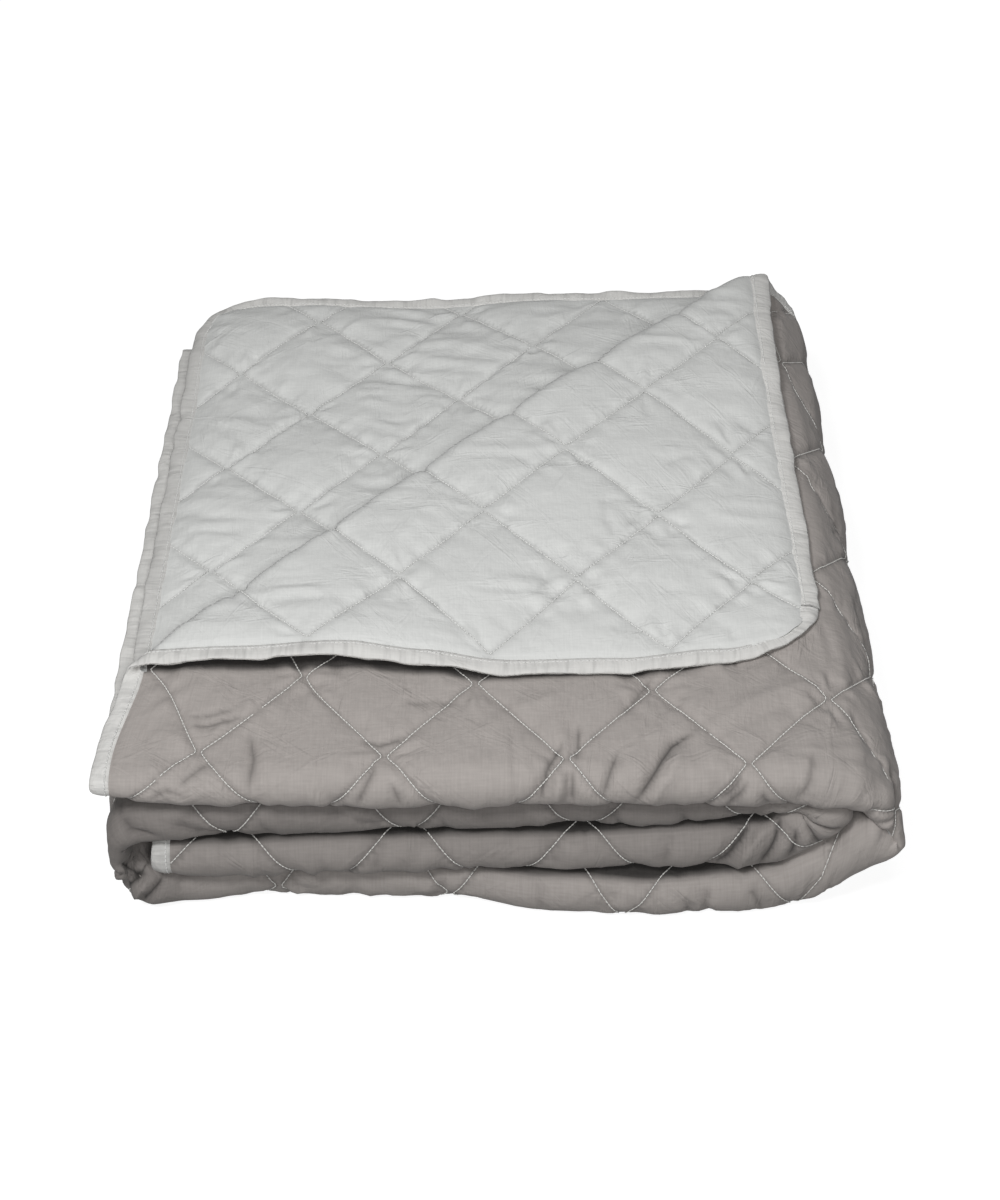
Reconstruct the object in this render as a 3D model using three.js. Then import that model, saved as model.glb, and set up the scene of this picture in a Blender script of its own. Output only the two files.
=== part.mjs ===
// A quilted double coverlet, folded for the shelf. Millimetres, +Z up.
// The cloth is folded in four from front to back, then rolled over itself in four columns,
// so its front shows four soft lips, and one corner of the top layer is turned over to the front.
import * as THREE from 'three';

// The quilt: a face cloth and a reverse cloth, quilted together and bound all round.
const quilt = {
  thickness: 7, // face to reverse, with its filling
  clothGap: 0.3, // between the two cloths
  edgeGap: 1.2, // between a cloth and the binding, so that they stay clear around the crease
  bindingWidth: 14.5,
  bindingThickness: 5,
  cornerRadius: 62,
};

// Four layers lie in each column. Their middles are this high above the column's inner side.
const layerHeight = { top: 35, under: 25, third: 15, bottom: 5 };
const columnHeight = 40;

// Places across the pack: where the top column starts, and the middles of its turns.
const across = {
  leftEdge: -286,
  rightTurn: 229,
  leftTurn: -243,
  innerTurn: 216,
  endEdge: -257,
  turnHeight: 30, // height in the layers at which a turn keeps the cloth's length
};

// Places from front to back. The flap's front edge lies at 0.
const depth = {
  topEdge: 537, // bound edge of the top layer, when it lies flat
  underEdge: 502, // bound edge of the layer under it
  backFold: 450,
  outerFold: -87,
  innerFold: -71,
  outerFoldRadius: 15,
  innerFoldRadius: 5,
  topShare: 0.935, // share of its length that the top layer, which rides over a crown, covers
};

// The turned-over corner: its crease runs at 45 degrees over the top layer.
const flap = {
  radiusAtFront: 4.6,
  radiusAtBack: 12,
  restHeight: 10,
  settle: 170, // distance from the crease over which the flap comes down to rest
  bow: 13,
  bowReach: 150,
  scores: [1, 0.35, -0.35, -1], // lines scored along the bend, by share of its half width
  scoreBelow: 1, // past the top layer's front line
  scoreRight: 60, // past the start of the right turn
};

// How far the left edge of the top column slides out of line.
const slide = { atLip: 19, lipFrom: 10, lipRun: 95, ofLowerPair: 12, pairBelow: 24, pairRun: 8, reach: 90 };

// The right side draws in towards the back.
const taper = { from: 150, share: 0.09, start: -80, run: 560 };

// Height of the crown on the top of the pack, by place from front to back and across.
const crown = {
  across: [-300, -120, 60, 240],
  rows: [
    { y: -90, heights: [0, 0, 0, 0] },
    { y: 0, heights: [5, 4, 2, 0] },
    { y: 120, heights: [1, 5, 6, 4] },
    { y: 250, heights: [-5, 3, 10, 8] },
    { y: 380, heights: [-13, -3, 11, 12] },
    { y: 510, heights: [-22, -10, 5, 10] },
  ],
  floorHeight: 5,
  topHeight: 155,
};

// The turns aren't true half circles: share scales the reach at an angle, and open adds to it.
const turnShape = {
  right: [
    { angle: 0, share: 1, open: 0 },
    { angle: 25, share: 1.04, open: 0 },
    { angle: 50, share: 1.06, open: 0 },
    { angle: 75, share: 1.03, open: 0 },
    { angle: 95, share: 1.02, open: 0 },
    { angle: 108, share: 1.02, open: -4 },
    { angle: 135, share: 1.01, open: -10 },
    { angle: 155, share: 1, open: -7 },
    { angle: 180, share: 1, open: 0 },
  ],
  left: [
    { angle: 0, share: 1, open: 0 },
    { angle: 15, share: 1, open: 0 },
    { angle: 50, share: 1.08, open: 3 },
    { angle: 90, share: 0.9, open: 6.5 },
    { angle: 135, share: 1.02, open: 3 },
    { angle: 180, share: 1, open: 0 },
  ],
  inner: [
    { angle: 0, share: 1, open: 0 },
    { angle: 180, share: 1, open: 0 },
  ],
};

// How far each lip stands back from the front, along the roll.
const lips = [
  { part: 'topColumn', at: 0, back: 0 },
  { part: 'topColumn', at: 1, back: 4 },
  { part: 'rightTurn', at: 0.4, back: 6 },
  { part: 'rightTurn', at: 0.85, back: 2 },
  { part: 'bottomColumn', at: 0.1, back: -4 },
  { part: 'bottomColumn', at: 0.25, back: -8 },
  { part: 'bottomColumn', at: 0.4, back: -2 },
  { part: 'bottomColumn', at: 0.55, back: 8 },
  { part: 'bottomColumn', at: 0.75, back: 13 },
  { part: 'bottomColumn', at: 0.9, back: 12 },
  { part: 'bottomColumn', at: 1, back: 5 },
  { part: 'leftTurn', at: 0.5, back: 4 },
  { part: 'secondColumn', at: 0, back: 4 },
  { part: 'secondColumn', at: 0.25, back: 12 },
  { part: 'secondColumn', at: 0.85, back: 18 },
  { part: 'secondColumn', at: 1, back: 14 },
  { part: 'innerTurn', at: 0.5, back: 4 },
  { part: 'thirdColumn', at: 0, back: 4 },
  { part: 'thirdColumn', at: 0.15, back: 8 },
  { part: 'thirdColumn', at: 0.5, back: 5 },
  { part: 'thirdColumn', at: 1, back: -2 },
];
const lipReach = { from: 40, run: 110 };

// Lines of the mesh: the same places in every layer, so that neighbours bend alike.
const lines = {
  across: [-90, 63],
  frontToBack: [70, 215, 360],
  cornerStep: 36,
  rightTurn: 5,
  leftTurn: 5,
  innerTurn: 3,
  outerFold: 4,
  innerFold: 3,
};

const looks = {
  face: { color: 0x9e9993, roughness: 0.9, metalness: 0 },
  reverse: { color: 0xd2d3d1, roughness: 0.9, metalness: 0 },
  binding: { color: 0xd0d0cd, roughness: 0.85, metalness: 0 },
};

const halfTurn = Math.PI;

function ease(t) {
  const s = Math.min(Math.max(t, 0), 1);
  return s * s * (3 - 2 * s);
}

// Value at x between the rows of a table, with level rows and soft steps between them.
function between(rows, place, value, x) {
  let result = rows[0][value];
  for (let i = 1; i < rows.length; i += 1) {
    const before = rows[i - 1];
    const after = rows[i];
    const share = ease((x - before[place]) / (after[place] - before[place]));
    result += (after[value] - before[value]) * share;
  }
  return result;
}

// ---- The roll: columns and turns, in the order in which the cloth runs through them.
function makeRoll() {
  const parts = [];
  const add = (name, length, place) => {
    const start = parts.length ? parts[parts.length - 1].end : 0;
    parts.push({ name, start, end: start + length, ...place });
  };
  const turnLength = (radius) => halfTurn * (radius + across.turnHeight);
  const h = columnHeight;
  add('topColumn', across.rightTurn - across.leftEdge, { x: across.leftEdge, run: 1, z: 3 * h, up: 1 });
  add('rightTurn', turnLength(h), {
    x: across.rightTurn, z: 2 * h, radius: h, side: 1, up: 1, shape: turnShape.right,
  });
  add('bottomColumn', across.rightTurn - across.leftTurn, { x: across.rightTurn, run: -1, z: h, up: -1 });
  add('leftTurn', turnLength(h / 2), {
    x: across.leftTurn, z: 1.5 * h, radius: h / 2, side: -1, up: -1, shape: turnShape.left,
  });
  add('secondColumn', across.innerTurn - across.leftTurn, { x: across.leftTurn, run: 1, z: 2 * h, up: 1 });
  add('innerTurn', turnLength(0), {
    x: across.innerTurn, z: 2 * h, radius: 0, side: 1, up: 1, shape: turnShape.inner,
  });
  add('thirdColumn', across.innerTurn - across.endEdge, { x: across.innerTurn, run: -1, z: 2 * h, up: -1 });
  return parts;
}

const roll = makeRoll();
const clothWidth = roll[roll.length - 1].end;
const rollPart = (name) => roll.find((part) => part.name === name);

// Place in the pack's upright section, from u along the roll and height h in the layers.
function rollPoint(u, h) {
  const part = roll.find((each) => u < each.end) ?? roll[roll.length - 1];
  const along = u - part.start;
  if (part.run) {
    return { x: part.x + part.run * along, z: part.z + part.up * h };
  }
  const angle = halfTurn * along / (part.end - part.start);
  const degrees = THREE.MathUtils.radToDeg(angle);
  const share = between(part.shape, 'angle', 'share', degrees);
  const reach = between(part.shape, 'angle', 'open', degrees) + (part.radius + h) * share;
  return {
    x: part.x + part.side * reach * Math.sin(angle),
    z: part.z + part.up * reach * Math.cos(angle),
  };
}

// ---- The layers: the cloth runs forward on top, back below, forward again and back under the top.
function makeLayers() {
  const ends = {};
  const outerBend = halfTurn * depth.outerFoldRadius;
  const innerBend = halfTurn * depth.innerFoldRadius;
  ends.top = depth.topEdge - depth.outerFold;
  ends.outerBend = ends.top + outerBend;
  ends.bottom = ends.outerBend + depth.backFold - depth.outerFold;
  ends.backBend = ends.bottom + innerBend;
  ends.third = ends.backBend + depth.backFold - depth.innerFold;
  ends.innerBend = ends.third + innerBend;
  ends.under = ends.innerBend + depth.underEdge - depth.innerFold;
  return ends;
}

const layerEnd = makeLayers();
const clothLength = layerEnd.under;

// Place from front to back, and height in the layers, from v along the cloth.
function layerPoint(v) {
  const outer = depth.outerFoldRadius;
  const inner = depth.innerFoldRadius;
  if (v <= layerEnd.top) {
    return { y: depth.topEdge - v, h: layerHeight.top };
  }
  if (v < layerEnd.outerBend) {
    const angle = (v - layerEnd.top) / outer;
    return { y: depth.outerFold - outer * Math.sin(angle), h: layerHeight.top - outer * (1 - Math.cos(angle)) };
  }
  if (v <= layerEnd.bottom) {
    return { y: depth.outerFold + v - layerEnd.outerBend, h: layerHeight.bottom };
  }
  if (v < layerEnd.backBend) {
    const angle = (v - layerEnd.bottom) / inner;
    return { y: depth.backFold + inner * Math.sin(angle), h: layerHeight.bottom + inner * (1 - Math.cos(angle)) };
  }
  if (v <= layerEnd.third) {
    return { y: depth.backFold - (v - layerEnd.backBend), h: layerHeight.third };
  }
  if (v < layerEnd.innerBend) {
    const angle = (v - layerEnd.third) / inner;
    return { y: depth.innerFold - inner * Math.sin(angle), h: layerHeight.third + inner * (1 - Math.cos(angle)) };
  }
  return { y: depth.innerFold + v - layerEnd.innerBend, h: layerHeight.under };
}

// ---- The turned-over corner. Along the crease runs t, and s is the distance from it.
const creaseLength = Math.SQRT2 * depth.topEdge;
const creaseRadius = (t) => flap.radiusAtFront
  + (flap.radiusAtBack - flap.radiusAtFront) * Math.min(Math.max(t / creaseLength, 0), 1);

function turnCorner(u, y) {
  const t = (u + y) / Math.SQRT2;
  const s = (u - y) / Math.SQRT2;
  const radius = creaseRadius(t);
  const bend = halfTurn * radius / 2;
  let moved = s;
  let rise = 0;
  if (s < -bend) {
    const away = -s - bend;
    moved = -s;
    rise = flap.restHeight + (2 * radius - flap.restHeight) * Math.exp(-((away / flap.settle) ** 2));
  } else if (s < bend) {
    const angle = (bend - s) / radius;
    moved = bend - radius * Math.sin(angle);
    rise = radius * (1 - Math.cos(angle));
  }
  const bow = flap.bow * Math.sin(halfTurn * Math.min(Math.max(t / creaseLength, 0), 1));
  moved -= bow * Math.exp(-((moved / flap.bowReach) ** 2));
  return { u: (t + moved) / Math.SQRT2, y: (t - moved) / Math.SQRT2, rise };
}

function crownAt(x, y) {
  const table = crown.rows.map((row) => {
    const places = crown.across.map((place, i) => ({ place, height: row.heights[i] }));
    return { y: row.y, height: between(places, 'place', 'height', x) };
  });
  return between(table, 'y', 'height', y);
}

const lipTable = lips.map((lip) => {
  const part = rollPart(lip.part);
  return { u: part.start + lip.at * (part.end - part.start), back: lip.back };
});

// Where the point (u, v) of the flat cloth lies in the folded pack.
function foldedPoint(u, v) {
  const layer = layerPoint(v);
  let alongRoll = u;
  let { y, h } = layer;
  if (v <= layerEnd.top && u < rollPart('rightTurn').end) {
    const corner = turnCorner(u, y);
    alongRoll = corner.u;
    y = corner.y;
    h += corner.rise;
  }
  if (v <= layerEnd.top && y > 0) {
    y *= depth.topShare;
  }
  const point = rollPoint(alongRoll, h);
  let { x, z } = point;
  y += between(lipTable, 'u', 'back', u) * ease((lipReach.from - y) / lipReach.run);
  if (u < rollPart('topColumn').end) {
    const atLip = slide.atLip * ease((slide.lipFrom - y) / slide.lipRun);
    const ofPair = slide.ofLowerPair * ease((slide.pairBelow - h) / slide.pairRun);
    const out = Math.max(atLip, ofPair);
    x -= out * Math.exp(-((u / slide.reach) ** 2));
  }
  if (x > taper.from) {
    x -= (x - taper.from) * taper.share * ease((y - taper.start) / taper.run);
  }
  z += crownAt(x, y) * (z - crown.floorHeight) / (crown.topHeight - crown.floorHeight);
  return new THREE.Vector3(x, y, z);
}

// Direction in which the face cloth looks at a point.
const normalStep = 0.5;

function faceNormal(u, v) {
  const step = normalStep;
  const alongU = foldedPoint(u + step, v).sub(foldedPoint(u - step, v));
  const alongV = foldedPoint(u, v + step).sub(foldedPoint(u, v - step));
  return alongV.cross(alongU).normalize();
}

// ---- Lines of the flat cloth, at one edge distance from the rounded outline.
function evenly(from, to, count) {
  return Array.from({ length: count }, (_, i) => from + (to - from) * (i + 1) / count);
}

function linesAlongU(edge) {
  const list = [edge, lines.cornerStep, quilt.cornerRadius];
  const places = lines.across;
  const column = (name, xs) => {
    const part = rollPart(name);
    xs.forEach((x) => list.push(part.start + (x - part.x) * part.run));
  };
  const turn = (name, count) => list.push(...evenly(rollPart(name).start, rollPart(name).end, count));
  const backwards = [...places].reverse();
  column('topColumn', [...places, across.rightTurn]);
  turn('rightTurn', lines.rightTurn);
  column('bottomColumn', [...backwards, across.leftTurn]);
  turn('leftTurn', lines.leftTurn);
  column('secondColumn', [...places, across.innerTurn]);
  turn('innerTurn', lines.innerTurn);
  column('thirdColumn', backwards);
  list.push(clothWidth - quilt.cornerRadius, clothWidth - lines.cornerStep, clothWidth - edge);
  return list;
}

function linesAlongV(edge) {
  const list = [edge, lines.cornerStep, quilt.cornerRadius];
  const places = lines.frontToBack;
  const backwards = [...places].reverse();
  backwards.forEach((y) => list.push(depth.topEdge - y / depth.topShare));
  list.push(layerEnd.top, ...evenly(layerEnd.top, layerEnd.outerBend, lines.outerFold));
  places.forEach((y) => list.push(layerEnd.outerBend + y - depth.outerFold));
  list.push(layerEnd.bottom, ...evenly(layerEnd.bottom, layerEnd.backBend, lines.innerFold));
  backwards.forEach((y) => list.push(layerEnd.backBend + depth.backFold - y));
  list.push(layerEnd.third, ...evenly(layerEnd.third, layerEnd.innerBend, lines.innerFold));
  places.forEach((y) => list.push(layerEnd.innerBend + y - depth.innerFold));
  list.push(clothLength - quilt.cornerRadius, clothLength - lines.cornerStep, clothLength - edge);
  return list;
}

// Moves a corner's square of lines into its quarter circle.
function roundCorner(u, v, edge) {
  const radius = quilt.cornerRadius;
  const centreU = u < radius ? radius : clothWidth - radius;
  const centreV = v < radius ? radius : clothLength - radius;
  const du = u - centreU;
  const dv = v - centreV;
  const inCorner = (u < radius || u > clothWidth - radius) && (v < radius || v > clothLength - radius);
  if (!inCorner) {
    return [u, v];
  }
  const reach = radius - edge;
  const p = du / reach;
  const q = dv / reach;
  return [centreU + du * Math.sqrt(1 - q * q / 2), centreV + dv * Math.sqrt(1 - p * p / 2)];
}

// ---- Flat meshes: points [u, v] and triangles.
function clothSheet(edge) {
  const us = linesAlongU(edge);
  const vs = linesAlongV(edge);
  const points = [];
  const triangles = [];
  us.forEach((u) => vs.forEach((v) => points.push(roundCorner(u, v, edge))));
  const at = (i, j) => i * vs.length + j;
  for (let i = 0; i < us.length - 1; i += 1) {
    for (let j = 0; j < vs.length - 1; j += 1) {
      triangles.push([at(i, j), at(i + 1, j), at(i + 1, j + 1)]);
      triangles.push([at(i, j), at(i + 1, j + 1), at(i, j + 1)]);
    }
  }
  return { points, triangles };
}

function outline(edge) {
  const us = linesAlongU(edge);
  const vs = linesAlongV(edge);
  const lastU = us[us.length - 1];
  const lastV = vs[vs.length - 1];
  const loop = [];
  us.slice(0, -1).forEach((u) => loop.push([u, vs[0]]));
  vs.slice(0, -1).forEach((v) => loop.push([lastU, v]));
  us.slice(1).reverse().forEach((u) => loop.push([u, lastV]));
  vs.slice(1).reverse().forEach((v) => loop.push([us[0], v]));
  return loop.map(([u, v]) => roundCorner(u, v, edge));
}

function bindingSheet() {
  const inner = outline(quilt.bindingWidth);
  const outer = outline(0);
  const count = inner.length;
  const triangles = [];
  for (let i = 0; i < count; i += 1) {
    const next = (i + 1) % count;
    triangles.push([i, count + i, count + next]);
    triangles.push([i, count + next, next]);
  }
  return { points: [...inner, ...outer], triangles };
}

// Splits the triangles that a straight line on the flat cloth crosses.
function score(sheet, side) {
  const points = [...sheet.points];
  const triangles = [];
  const cuts = new Map();
  const distance = sheet.points.map(([u, v]) => side(u, v));
  const nearLine = 1;
  const cut = (a, b) => {
    const key = a < b ? `${a}-${b}` : `${b}-${a}`;
    if (!cuts.has(key)) {
      const share = distance[a] / (distance[a] - distance[b]);
      cuts.set(key, points.length);
      points.push([0, 1].map((k) => points[a][k] + (points[b][k] - points[a][k]) * share));
    }
    return cuts.get(key);
  };
  const crosses = (a, b) => distance[a] * distance[b] < 0
    && Math.abs(distance[a]) > nearLine && Math.abs(distance[b]) > nearLine;
  sheet.triangles.forEach(([a, b, c]) => {
    const turned = [[a, b, c], [b, c, a], [c, a, b]];
    const single = turned.find(([p, q, r]) => crosses(p, q) && crosses(p, r));
    const corner = turned.find(([p, q, r]) => crosses(q, r) && !crosses(p, q) && !crosses(p, r));
    if (single) {
      const [p, q, r] = single;
      const first = cut(p, q);
      const second = cut(p, r);
      triangles.push([p, first, second], [first, q, r], [first, r, second]);
    } else if (corner) {
      const [p, q, r] = corner;
      const middle = cut(q, r);
      triangles.push([p, q, middle], [p, middle, r]);
    } else {
      triangles.push([a, b, c]);
    }
  });
  return { points, triangles };
}

// The crease is scored along both ends of its bend and two lines between them.
function scoreCrease(sheet) {
  const farAway = clothLength ** 2; // no line crosses a triangle whose corners all lie so far away
  let result = sheet;
  flap.scores.forEach((bendSide) => {
    result = score(result, (u, v) => {
      const y = depth.topEdge - v;
      if (v > layerEnd.top + flap.scoreBelow || u > rollPart('rightTurn').start + flap.scoreRight) {
        return farAway;
      }
      const t = (u + y) / Math.SQRT2;
      const radius = flap.radiusAtFront + (flap.radiusAtBack - flap.radiusAtFront) * t / creaseLength;
      return (u - y) / Math.SQRT2 - bendSide * halfTurn * radius / 2;
    });
  });
  return result;
}

// ---- A closed solid between two heights over a flat mesh; the face side is above.
function solid(sheet, lower, upper) {
  const count = sheet.points.length;
  const position = new Float32Array(count * 6);
  sheet.points.forEach(([u, v], i) => {
    const point = foldedPoint(u, v);
    const normal = faceNormal(u, v);
    point.clone().addScaledVector(normal, upper).toArray(position, i * 3);
    point.clone().addScaledVector(normal, lower).toArray(position, (count + i) * 3);
  });
  const index = [];
  const edges = new Set();
  sheet.triangles.forEach(([a, b, c]) => {
    index.push(a, c, b, count + a, count + b, count + c);
    [[a, b], [b, c], [c, a]].forEach(([p, q]) => edges.add(`${p}-${q}`));
  });
  edges.forEach((edge) => {
    const [p, q] = edge.split('-').map(Number);
    if (edges.has(`${q}-${p}`)) {
      return;
    }
    // Walls that face each other across a gap are split along the same diagonal.
    const [uP, vP] = sheet.points[p];
    const [uQ, vQ] = sheet.points[q];
    if (uP + vP < uQ + vQ) {
      index.push(p, q, count + q, p, count + q, count + p);
    } else {
      index.push(p, q, count + p, q, count + q, count + p);
    }
  });
  const geometry = new THREE.BufferGeometry();
  geometry.setAttribute('position', new THREE.BufferAttribute(position, 3));
  geometry.setIndex(index);
  return geometry;
}

function piece(name, geometry, look) {
  const mesh = new THREE.Mesh(geometry, new THREE.MeshStandardMaterial(look));
  mesh.name = name;
  return mesh;
}

const clothEdge = quilt.bindingWidth + quilt.edgeGap;
const cloth = scoreCrease(clothSheet(clothEdge));
const binding = scoreCrease(bindingSheet());
const half = quilt.thickness / 2;
const halfGap = quilt.clothGap / 2;
const halfBinding = quilt.bindingThickness / 2;

const coverlet = new THREE.Group();
coverlet.add(
  piece('face_cloth', solid(cloth, halfGap, half), looks.face),
  piece('reverse_cloth', solid(cloth, -half, -halfGap), looks.reverse),
  piece('binding', solid(binding, -halfBinding, halfBinding), looks.binding),
);

// The origin is under the middle of the pack, on the surface that it lies on.
const box = new THREE.Box3().setFromObject(coverlet);
const centre = box.getCenter(new THREE.Vector3());
coverlet.position.set(-centre.x, -centre.y, -box.min.z);
coverlet.updateMatrixWorld(true);

export default coverlet;
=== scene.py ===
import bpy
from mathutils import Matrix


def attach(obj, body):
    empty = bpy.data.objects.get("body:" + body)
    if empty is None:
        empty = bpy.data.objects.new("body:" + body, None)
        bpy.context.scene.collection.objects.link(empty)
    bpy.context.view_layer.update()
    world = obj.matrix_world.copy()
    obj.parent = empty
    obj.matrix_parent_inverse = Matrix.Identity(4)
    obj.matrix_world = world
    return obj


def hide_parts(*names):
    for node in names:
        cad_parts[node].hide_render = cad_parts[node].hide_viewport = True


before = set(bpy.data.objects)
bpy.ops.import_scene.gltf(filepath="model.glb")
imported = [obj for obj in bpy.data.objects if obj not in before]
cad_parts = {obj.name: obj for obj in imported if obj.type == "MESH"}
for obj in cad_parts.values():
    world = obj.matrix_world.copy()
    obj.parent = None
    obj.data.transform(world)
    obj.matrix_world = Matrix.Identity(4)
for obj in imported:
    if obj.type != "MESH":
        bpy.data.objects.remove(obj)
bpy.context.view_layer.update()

import math

import bpy
import numpy as np
from mathutils import Vector

# A quilted double coverlet, folded in four from front to back and rolled over itself in four
# columns, with one corner of its top layer turned over. A point of the flat cloth is u across and
# v along it. Lengths are in millimetres up to the last step, where each mesh is scaled to metres.
millimetre = 0.001
halfTurn = math.pi
rootTwo = math.sqrt(2)

quilt = {
    "bindingWidth": 14.5,
    "cornerRadius": 62.0,
    "underBinding": 9.0,  # the cloths' edges lie this far in from the outline, inside the binding
    "halfAtSeam": 1.5,  # half of the quilt's thickness at a quilting seam
    "halfInside": 0.35,  # where a cloth's hidden side lies, from the middle of the quilt
    "leastCloth": 0.1,  # thickness that a cloth always keeps
    "lowest": -0.95,  # height of its deepest places, from a seam's
    "pressedEdge": 15.5,  # this near the outline the binding holds the cloth down
    "pressedHeight": -0.45,
    "floorGap": 0.05,
    "hiddenLift": 0.3,  # the hidden side lies this much higher over the floor
    "modelShift": (-0.463, -196.825, -1.5),  # from the pack's own places to the model's origin
}

# The fold, as in the solids. The pressed turns and what follows from them, the lifts and the
# turned-over corner's edge are this script's own, and so are a few millimetres at the lips.
layerHeight = {"top": 35.0, "under": 25.0, "third": 15.0, "bottom": 5.0}
layerSpread = layerHeight["top"] - layerHeight["bottom"]
columnHeight = 40.0
across = {
    "leftEdge": -286.0, "rightTurn": 229.0, "leftTurn": -243.0, "innerTurn": 216.0, "endEdge": -257.0,
    "turnHeight": 30.0,  # height in the layers at which a turn keeps the cloth's length
}
depth = {
    "topEdge": 537.0, "underEdge": 502.0, "backFold": 450.0, "outerFold": -87.0, "innerFold": -71.0,
    "outerFoldRadius": 15.0, "innerFoldRadius": 5.0, "topShare": 0.935,
}
flap = {
    "radiusAtFront": 4.6, "radiusAtBack": 12.0, "restHeight": 10.0, "settle": 170.0,
    "bow": 13.0, "bowReach": 150.0, "turnedRise": 6.0,  # risen by more than this, the cloth is turned over
}
slide = {  # how far the top column's left edge slides out of line
    "atLip": 15.0, "lipFrom": 10.0, "lipRun": 95.0,
    "ofLowerPair": 12.0, "pairBelow": 24.0, "pairRun": 8.0, "reach": 90.0,
}
endSlide = {"out": 9.0, "reach": 55.0, "from": 20.0, "run": 70.0}  # of the third column's end, at the front
setBack = {"by": 34.0, "beside": 50.0, "from": 20.0, "run": 90.0}  # of the inner layers in a pressed turn
taper = {"from": 150.0, "share": 0.09, "start": -80.0, "run": 560.0}
cornerLift = {  # of the layer under the top one, at its far left
    "height": 13.0, "across": -225.0, "acrossReach": 110.0, "from": 320.0, "run": 140.0,
}
crown = {
    "across": (-300, -120, 60, 240),
    "depths": (-90, 0, 120, 250, 380, 510),
    "heights": (
        (0, 0, 0, 0), (5, 4, 2, 0), (1, 5, 6, 4), (-5, 3, 10, 8), (-13, -3, 11, 12), (-22, -10, 5, 10),
    ),
    "floorHeight": 5.0, "topHeight": 155.0,
}
turnShape = {
    "rightTurn": {
        "angle": (0, 25, 50, 75, 105, 180), "share": (1, 1.04, 1.06, 1.03, 1.02, 1), "open": (0,) * 6,
    },
    "leftTurn": {
        "angle": (0, 15, 50, 90, 135, 180), "share": (1, 1, 1.08, 0.9, 1.02, 1), "open": (0, 0, 3, 6.5, 3, 0),
    },
    "innerTurn": {"angle": (0, 180), "share": (1, 1), "open": (0, 0)},
}
lips = (  # how far each lip stands back from the front, by share of a part of the roll
    ("topColumn", 0, 0), ("topColumn", 1, 4), ("rightTurn", 0.4, 6), ("rightTurn", 0.85, 2),
    ("bottomColumn", 0.1, -4), ("bottomColumn", 0.25, -8), ("bottomColumn", 0.4, -2),
    ("bottomColumn", 0.55, 8), ("bottomColumn", 0.75, 13), ("bottomColumn", 0.9, 13), ("bottomColumn", 1, 8),
    ("leftTurn", 0.2, -1), ("leftTurn", 0.5, 4), ("secondColumn", 0, 4), ("secondColumn", 0.25, 12),
    ("secondColumn", 0.85, 18), ("secondColumn", 1, 14), ("innerTurn", 0.5, 4), ("thirdColumn", 0, 4),
    ("thirdColumn", 0.15, 8), ("thirdColumn", 0.5, 5), ("thirdColumn", 1, -2),
)
lipReach = {"from": 40.0, "run": 110.0}
# The turns are pressed flat. Each has an outer and an inner path, from its start to its end, which
# its layers keep to at the front. The right turn's tip is sharp and its inner layers close up there.
pressed = {
    "rightTurn": {
        "angle": (0, 28, 57, 80, 94, 108, 125, 145, 165, 180),
        "outerX": (229, 263, 288, 300, 303, 290, 272, 254, 241, 229),
        "outerZ": (155, 147, 124, 96, 76, 60, 42, 25, 11, 5),
        "innerX": (229, 250, 268, 284, 300, 293, 282, 268, 250, 229),
        "innerZ": (125, 124, 118, 103, 79, 87, 98, 87, 64, 52),
        "closedAt": -70.0, "openAt": 10.0,
    },
    "leftTurn": {
        "angle": (0, 30, 55, 75, 95, 120, 150, 180),
        "outerX": (-243, -273, -287, -291, -296, -293, -283, -243),
        "outerZ": (5, 8, 20, 42, 58, 90, 110, 115),
        "innerX": (-243, -262, -276, -286, -289, -287, -272, -243),
        "innerZ": (35, 34, 37, 47, 57, 73, 84, 85),
        "closedAt": -85.0, "openAt": -30.0,
    },
    "innerTurn": {
        "angle": (0, 30, 60, 90, 115, 140, 160, 180),
        "outerX": (216, 240, 256, 261, 257, 246, 231, 216),
        "outerZ": (115, 117, 115, 104, 92, 76, 65, 57),
        "innerX": (216, 225, 231, 233, 231, 228, 222, 216),
        "innerZ": (105, 107, 108, 106, 103, 101, 100, 100),
        "closedAt": -75.0, "openAt": -20.0,
    },
}
# The columns beside a pressed turn rise with it: by how much at their outer and inner side, how far
# along, and how fast it dies away.
columnRise = {
    "bottomColumn": {
        "turn": "rightTurn", "at": "start", "outer": 0.0, "inner": 17.0, "reach": 25.0, "power": 1,
    },
    "secondColumn": {
        "turn": "innerTurn", "at": "end", "outer": 0.0, "inner": 20.0, "reach": 60.0, "power": 2,
    },
    "thirdColumn": {
        "turn": "innerTurn", "at": "start", "outer": 12.0, "inner": 25.0, "reach": 40.0, "power": 1,
    },
}
leftLift = {"height": 15.0, "reach": 75.0, "from": -30.0, "run": 50.0}  # of the top lip at its bound end
# The turned-over corner's front edge: how far it lies back from its line, and how far it is lifted.
flapEdge = {
    "x": (-286, -200, -120, -60, 0, 90, 170, 215, 250),
    "back": (0, -1, 2, -4, -9, -4, 8, 18, 26),
    "lift": (2, 6, 9, 6, 1, 0, 0, 0, 0),
    "reach": 120.0,
}


def ease(t):
    s = np.clip(t, 0, 1)
    return s * s * (3 - 2 * s)


def between(places, values, x):  # eased from each value to the next
    result = np.full(np.shape(x), float(values[0]))
    for i in range(1, len(places)):
        share = ease((x - places[i - 1]) / (places[i] - places[i - 1]))
        result = result + (values[i] - values[i - 1]) * share
    return result


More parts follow.
